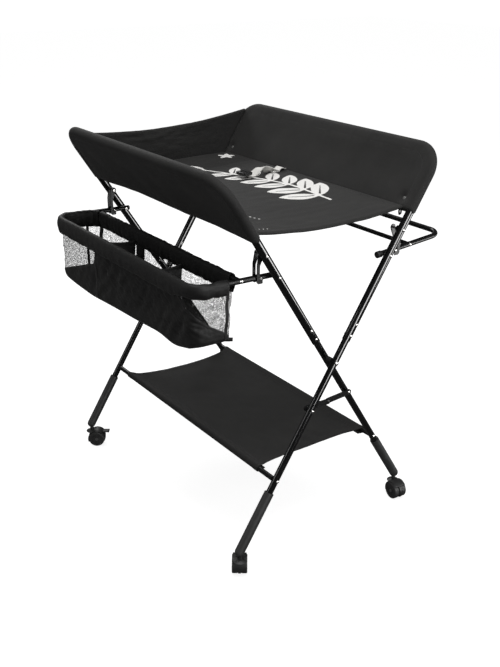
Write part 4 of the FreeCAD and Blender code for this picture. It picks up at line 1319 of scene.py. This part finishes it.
def net_cloth():
    """Warp-knit net: dark threads with open diamonds between them."""
    material, tree, shader, _ = cloth(
        "basket_net", (0.010, 0.010, 0.010), (0.03, 0.03, 0.029), 1500, 0.5, 0.7, 0.2, 0.0
    )
    link = tree.links.new
    weave = add(tree, "ShaderNodeUVMap", uv_map="weave")
    turned = add(tree, "ShaderNodeMapping")
    turned.inputs["Rotation"].default_value = (0, 0, math.radians(45))
    turned.inputs["Scale"].default_value = (1150, 900, 1)
    link(weave.outputs["UV"], turned.inputs["Vector"])
    split = tree.nodes.new("ShaderNodeSeparateXYZ")
    link(turned.outputs["Vector"], split.inputs[0])
    edges = []
    for axis in ("X", "Y"):
        wave = add(tree, "ShaderNodeMath", operation="COSINE")
        link(split.outputs[axis], wave.inputs[0])
        size = add(tree, "ShaderNodeMath", operation="ABSOLUTE")
        link(wave.outputs[0], size.inputs[0])
        edges.append(size)
    either = add(tree, "ShaderNodeMath", operation="MAXIMUM")
    link(edges[0].outputs[0], either.inputs[0])
    link(edges[1].outputs[0], either.inputs[1])
    thread = add(tree, "ShaderNodeMapRange", interpolation_type="SMOOTHSTEP")
    thread.inputs["From Min"].default_value = 0.945
    thread.inputs["From Max"].default_value = 0.975
    place = add(tree, "ShaderNodeTexCoord")
    uneven = add(tree, "ShaderNodeTexNoise", Scale=330.0, Detail=1.0)
    link(place.outputs["Object"], uneven.inputs["Vector"])
    stretched = add(tree, "ShaderNodeMath", operation="MULTIPLY_ADD")
    stretched.inputs[1].default_value = 0.34
    stretched.inputs[2].default_value = -0.17
    link(uneven.outputs["Fac"], stretched.inputs[0])
    closed = add(tree, "ShaderNodeMath", operation="ADD")
    link(either.outputs[0], closed.inputs[0])
    link(stretched.outputs[0], closed.inputs[1])
    link(closed.outputs[0], thread.inputs["Value"])
    link(thread.outputs["Result"], shader.inputs["Alpha"])
    return material


basket_net = net_cloth()


def in_basket(x, out, down):
    """A place in the basket: across, out from its hinge, and down from it."""
    c, s = math.cos(BASKET_TILT), math.sin(BASKET_TILT)
    return BASKET_ROOT + Vector((x, -out * c - down * s, out * s - down * c))


def rim_loop():
    """The rim seen from above, as (x, out, outward x, outward out), closed.
    Its back corners are cut off, clear of the riveted joints of the bars."""
    loop = []
    for x, start in ((RIM_X - RIM_BEND, 0), (RIM_BEND - RIM_X, 90)):
        for t in np.radians(np.linspace(start, start + 90, 12)):
            c, s = math.cos(t), math.sin(t)
            loop.append((x + RIM_BEND * c, RIM_OUT - RIM_BEND + RIM_BEND * s, c, s))
    for way in (-1, 1):
        cut = [
            (RIM_X, RIM_BACK + BACK_CUT, 1.0, 0.0),
            (RIM_X - 0.3 * BACK_CUT, RIM_BACK + 0.35 * BACK_CUT, 0.7, -0.7),
            (RIM_X - BACK_CUT, RIM_BACK, 0.0, -1.0),
        ]
        for x, out, nx, no in cut if way < 0 else cut[::-1]:
            loop.append((way * x, out, way * nx, no))
    full = []
    for one, other in zip(loop, loop[1:] + loop[:1]):
        gap = math.dist(one[:2], other[:2])
        count = max(1, round(gap / 0.0045))
        for k in range(count):
            t = k / count
            full.append(tuple(a + (b - a) * t for a, b in zip(one, other)))
    full.append(full[0])
    return full


RIM = rim_loop()


def bag_depth(x):
    """How deep the bag hangs: least at the near end, which is pulled up."""
    marks = (-0.34, -0.25, -0.16, -0.04, 0.06, 0.17, 0.235, 0.30, 0.34)
    deep = (0.157, 0.165, 0.169, 0.163, 0.160, 0.154, 0.163, 0.148, 0.139)
    eased = [np.interp(x + step, marks, deep) for step in (-0.02, -0.01, 0, 0.01, 0.02)]
    return float(np.mean(eased))


def bag_wall(x, out, nx, no, down):
    """A point of the bag's wall below the rim."""
    deep = bag_depth(x)
    share = min(1.0, down / deep)
    taper = 0.003 + 0.004 * share
    roll = max(0.0, share - 0.90) / 0.10
    taper += 0.007 * roll**2
    slack = math.sin(math.pi * min(1, share * 1.02)) ** 0.7
    crease = 0.0062 * fuzz((x * 0.8, out, down * 0.7), 13, 21)
    crease += 0.0060 * fuzz((x * 1.3 + down * 0.9, out, down * 0.5), 30, 22)
    crease += 0.0036 * fuzz((x - down * 1.3, out, down * 0.6), 62, 24)
    crease += 0.0012 * fuzz((x, out * 1.3, down), 110, 23)
    sheet = no > 0.3 and x > -DIVIDER_X
    lift = -taper + crease * slack * (1.0 if sheet else 0.55)
    return x + nx * lift, out + no * lift, down


def cloth_start(x, out):
    """How far down the cloth begins; net fills the wall above it."""
    if out < RIM_BACK + 0.6 * BACK_CUT:
        return bag_depth(x) - 0.012
    along = out - RIM_BACK - BACK_CUT
    if out > RIM_OUT - RIM_BEND:
        along += (RIM_X - x) * 0.95
    if x > 0.2 and along < 0.15:
        return 0.117 - 0.084 * along / 0.15
    if x < -RIM_X + 0.004:
        return 0.142
    if x < -DIVIDER_X - 0.008:
        share = min(1.0, (-DIVIDER_X - 0.008 - x) / (RIM_X - DIVIDER_X - 0.008))
        return 0.068 + 0.074 * share
    return 0.022


def smooth_closed(values, reach):
    """A running mean round a closed row of values."""
    ring = np.array(values[:-1])
    kernel = np.ones(2 * reach + 1) / (2 * reach + 1)
    wide = np.concatenate([ring[-reach:], ring, ring[:reach]])
    eased = np.convolve(wide, kernel, "valid")
    return np.append(eased, eased[0])


def make_bag_cloth():
    starts = smooth_closed([cloth_start(x, out) for x, out, _, _ in RIM], 3)
    rows = list(np.linspace(0, 1, 34))
    inner = np.linspace(0, 1, 12)[1:]
    middle = np.zeros((len(rows) + len(inner), len(RIM), 3))
    spine = (RIM_OUT + RIM_BACK) / 2 + 0.003
    for j, (x, out, nx, no) in enumerate(RIM):
        deep = bag_depth(x)
        for i, t in enumerate(rows):
            down = starts[j] + (deep - starts[j]) * t
            middle[i, j] = in_basket(*bag_wall(x, out, nx, no, down))
        foot_x, foot_out, _ = bag_wall(x, out, nx, no, deep)
        for i, t in enumerate(inner):
            end_x = max(-RIM_X + 0.05, min(RIM_X - 0.05, x))
            px = foot_x + (end_x - foot_x) * t
            po = foot_out + (spine - foot_out) * t
            dip = deep + (bag_depth(px) + 0.004 - deep) * math.sin(math.pi * t / 2)
            dip += 0.002 * fuzz((px, po, 0), 22, 31) * t
            middle[len(rows) + i, j] = in_basket(px, po, dip)
    bag = padded_mesh("basket_bag_cloth", middle, BAG_HALF_CLOTH, basket_cloth, joined=True)
    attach(bag, "basket")
    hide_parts("basket_bag")
    return starts


BAG_STARTS = make_bag_cloth()


def rim_stretch(keep):
    """The run of places on the rim that keep(x, out) picks, in order round it."""
    picked = [k for k, (x, out, _, _) in enumerate(RIM[:-1]) if keep(x, out)]
    breaks = [k for k, (a, b) in enumerate(zip(picked, picked[1:])) if b != a + 1]
    if breaks:
        picked = picked[breaks[0] + 1 :] + picked[: breaks[0] + 1]
    return picked


def make_net(name, keep):
    """Net over the stretch of wall that keep picks, down to the cloth."""
    picked = rim_stretch(keep)
    rows = np.linspace(0, 1, 16)
    middle = np.zeros((len(rows), len(picked), 3))
    for j, k in enumerate(picked):
        x, out, nx, no = RIM[k]
        foot = BAG_STARTS[k] + 0.004
        for i, t in enumerate(rows):
            down = 0.018 + (foot - 0.018) * t
            middle[i, j] = in_basket(*bag_wall(x, out, nx, no, down))
    net = padded_mesh(name, middle, 0.00015, basket_net)
    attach(net, "basket")
    return [Vector(middle[-1, j]) for j in range(len(picked))]


def bind(name, path, half_wide=0.0014, half_tall=0.0042, up=(0, 0, 1)):
    """A binding tape of the basket along a path."""
    tape = tape_round(name, path, half_wide, half_tall, binding_cloth, up)
    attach(tape, "basket")


net_edges = {
    "basket_net_near_end": make_net(
        "basket_net_near_end", lambda x, out: x > 0.252 and out > RIM_BACK + BACK_CUT - 0.002
    ),
    "basket_net_far": make_net(
        "basket_net_far",
        lambda x, out: x < -DIVIDER_X - 0.004 and out > RIM_BACK + BACK_CUT - 0.002,
    ),
    "basket_net_back": make_net(
        "basket_net_back", lambda x, out: out < RIM_BACK + BACK_CUT + 0.002
    ),
}
for net_name, net_edge in net_edges.items():
    bind(net_name.replace("net", "binding"), net_edge, 0.0011, 0.0036)


def wall_line(x, out, nx, no, start, end, off=0.0008):
    """A line down the bag's wall, lying just off it."""
    line = []
    for down in np.linspace(start, end, 24):
        px, po, pd = bag_wall(x, out, nx, no, down)
        line.append(in_basket(px + nx * off, po + no * off, pd))
    return line


def nearest_rim(x, out):
    """The place on the rim nearest to one seen from above."""
    return min(RIM, key=lambda p: math.dist(p[:2], (x, out)))


def make_upright_bindings():
    places = {
        "near_back": (RIM_X, RIM_BACK + BACK_CUT, 0.0042),
        "far_back": (-RIM_X, RIM_BACK + BACK_CUT, 0.0042),
        "far_divider": (-DIVIDER_X - 0.008, RIM_OUT, 0.0060),
        "back_far": (-DIVIDER_X + 0.018, RIM_BACK, 0.0210),
        "back_near": (DIVIDER_X - 0.018, RIM_BACK, 0.0100),
        "back_end": (-RIM_X + BACK_CUT + 0.004, RIM_BACK, 0.0100),
    }
    for name, (x, out, half) in places.items():
        spot = nearest_rim(x, out)
        line = wall_line(*spot, 0.020, bag_depth(spot[0]) * 0.965)
        side = Vector((spot[2], -spot[3], 0))
        bind(f"basket_upright_{name}", line, half, 0.0011, up=side)


make_upright_bindings()


def make_end_strap():
    """A tape that runs slantwise down inside the near end's net."""
    corner = [p for p in RIM[:-1] if p[0] > 0.25 and p[1] > RIM_BACK + BACK_CUT]
    corner.sort(key=lambda p: p[1] - p[0])
    line = []
    for t in np.linspace(0, 1, 24):
        spot = corner[round(len(corner) * (0.74 - 0.36 * t))]
        px, po, pd = bag_wall(*spot, 0.026 + 0.062 * t)
        line.append(in_basket(px - spot[2] * 0.0014, po - spot[3] * 0.0014, pd))
    bind("basket_end_strap", line, 0.0062, 0.0009, up=(0.8, -0.6, 0))


make_end_strap()


def make_corner_tab():
    spot = nearest_rim(RIM_X, RIM_BACK + BACK_CUT)
    px, po, pd = bag_wall(*spot, bag_depth(spot[0]) * 0.97)
    start = in_basket(px - 0.006, po, pd)
    way = Vector((0.010, 0.020, -0.001))
    line = [start + way * t for t in np.linspace(0, 1, 10)]
    bind("basket_corner_tab", line, 0.0014, 0.0050)


make_corner_tab()


def make_divider(name, x, front, back, slack):
    """A cloth partition across the bag, its top edge bound and a little slack."""
    outs = np.linspace(RIM_BACK + 0.006, RIM_OUT - 0.008, 26)
    rises = np.linspace(0, 1, 30)
    middle = np.zeros((len(rises), len(outs), 3))
    for j, out in enumerate(outs):
        share = (out - outs[0]) / (outs[-1] - outs[0])
        top = back + (front - back) * share + slack * math.sin(math.pi * share)
        for i, t in enumerate(rises):
            down = top + (bag_depth(x) - 0.004 - top) * t
            taper = 0.006 * (down / 0.17) * (2 * share - 1)
            bow = 0.004 * math.sin(math.pi * share) * fuzz((out, down, x), 16, 41)
            middle[i, j] = in_basket(x + bow, out - taper, down)
    divider = padded_mesh(name, middle, 0.0007, basket_cloth)
    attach(divider, "basket")
    top_edge = [Vector(p) for p in middle[0]]
    bind(f"{name}_binding", top_edge, 0.0014, 0.0042)


make_divider("basket_divider_far", -DIVIDER_X, 0.012, 0.026, 0.005)
make_divider("basket_divider_near", DIVIDER_X, 0.008, 0.024, 0.014)


def make_rim_sleeve(name, keep, narrow=0.0):
    """Cloth folded over the rim tube and gathered where it was drawn on."""
    ring = RIM[:-1]
    picked = rim_stretch(keep)
    over, hem = 0.0082, 0.0019
    swell = [hem + (over - hem) * t**0.7 for t in np.linspace(0.12, 1, 9)]
    drops = 1 - np.linspace(0.12, 1, 9)
    profile = [(hem, 1.0), *zip(swell, drops)]
    arch = [(over * math.cos(t), math.sin(t)) for t in np.radians(np.linspace(18, 162, 9))]
    folded = [(-off, drop) for off, drop in profile[::-1]]
    middle = np.zeros((2 * len(profile) + len(arch), len(picked), 3))
    for k, index in enumerate(picked):
        x, out, nx, no = ring[index]
        drop = RIM_DROP - narrow * max(0.0, min(1.0, (x - 0.24) / 0.06))
        low = 0.0022 * fuzz((x * 2, out * 2, 0), 30, 51)
        gather = fuzz((x, out, 0), 95, 52) + 0.8 * fuzz((x, out, 0), 40, 54)
        ends = 0.5 + 0.9 * (abs(x) > RIM_X - 0.05 or out < RIM_BACK + 0.01)
        for i, (off, share) in enumerate(profile + arch + folded):
            if len(profile) <= i < len(profile) + len(arch):
                down, share = -over * share * (1 + 0.16 * ends * max(gather, -0.6)), 0.0
            else:
                down = drop * share
            side = 1 if off > 0 else -1
            ridge = side * 0.0017 * ends * gather * (0.35 + share)
            ridge += 0.0009 * fuzz((x, out, down * 3), 60, 53)
            away = off + ridge + 0.0024 * side * math.sin(math.pi * share)
            middle[i, k] = in_basket(x + nx * away, out + no * away, down + low * share)
    sleeve = padded_mesh(name, middle, 0.0004, basket_cloth)
    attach(sleeve, "basket")
    lines = []
    for row in (2, -3):
        lines.append([Vector(p) for p in middle[row, 1:-1]])
    stitches = sewn(f"{name}_stitches", lines)
    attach(stitches, "basket")


make_rim_sleeve(
    "basket_rim_sleeve",
    lambda x, out: out > RIM_BACK + BACK_CUT or (x < 0 and out > RIM_BACK + 0.001),
    0.010,
)
make_rim_sleeve("basket_back_sleeve", lambda x, out: out < RIM_BACK + 0.002)
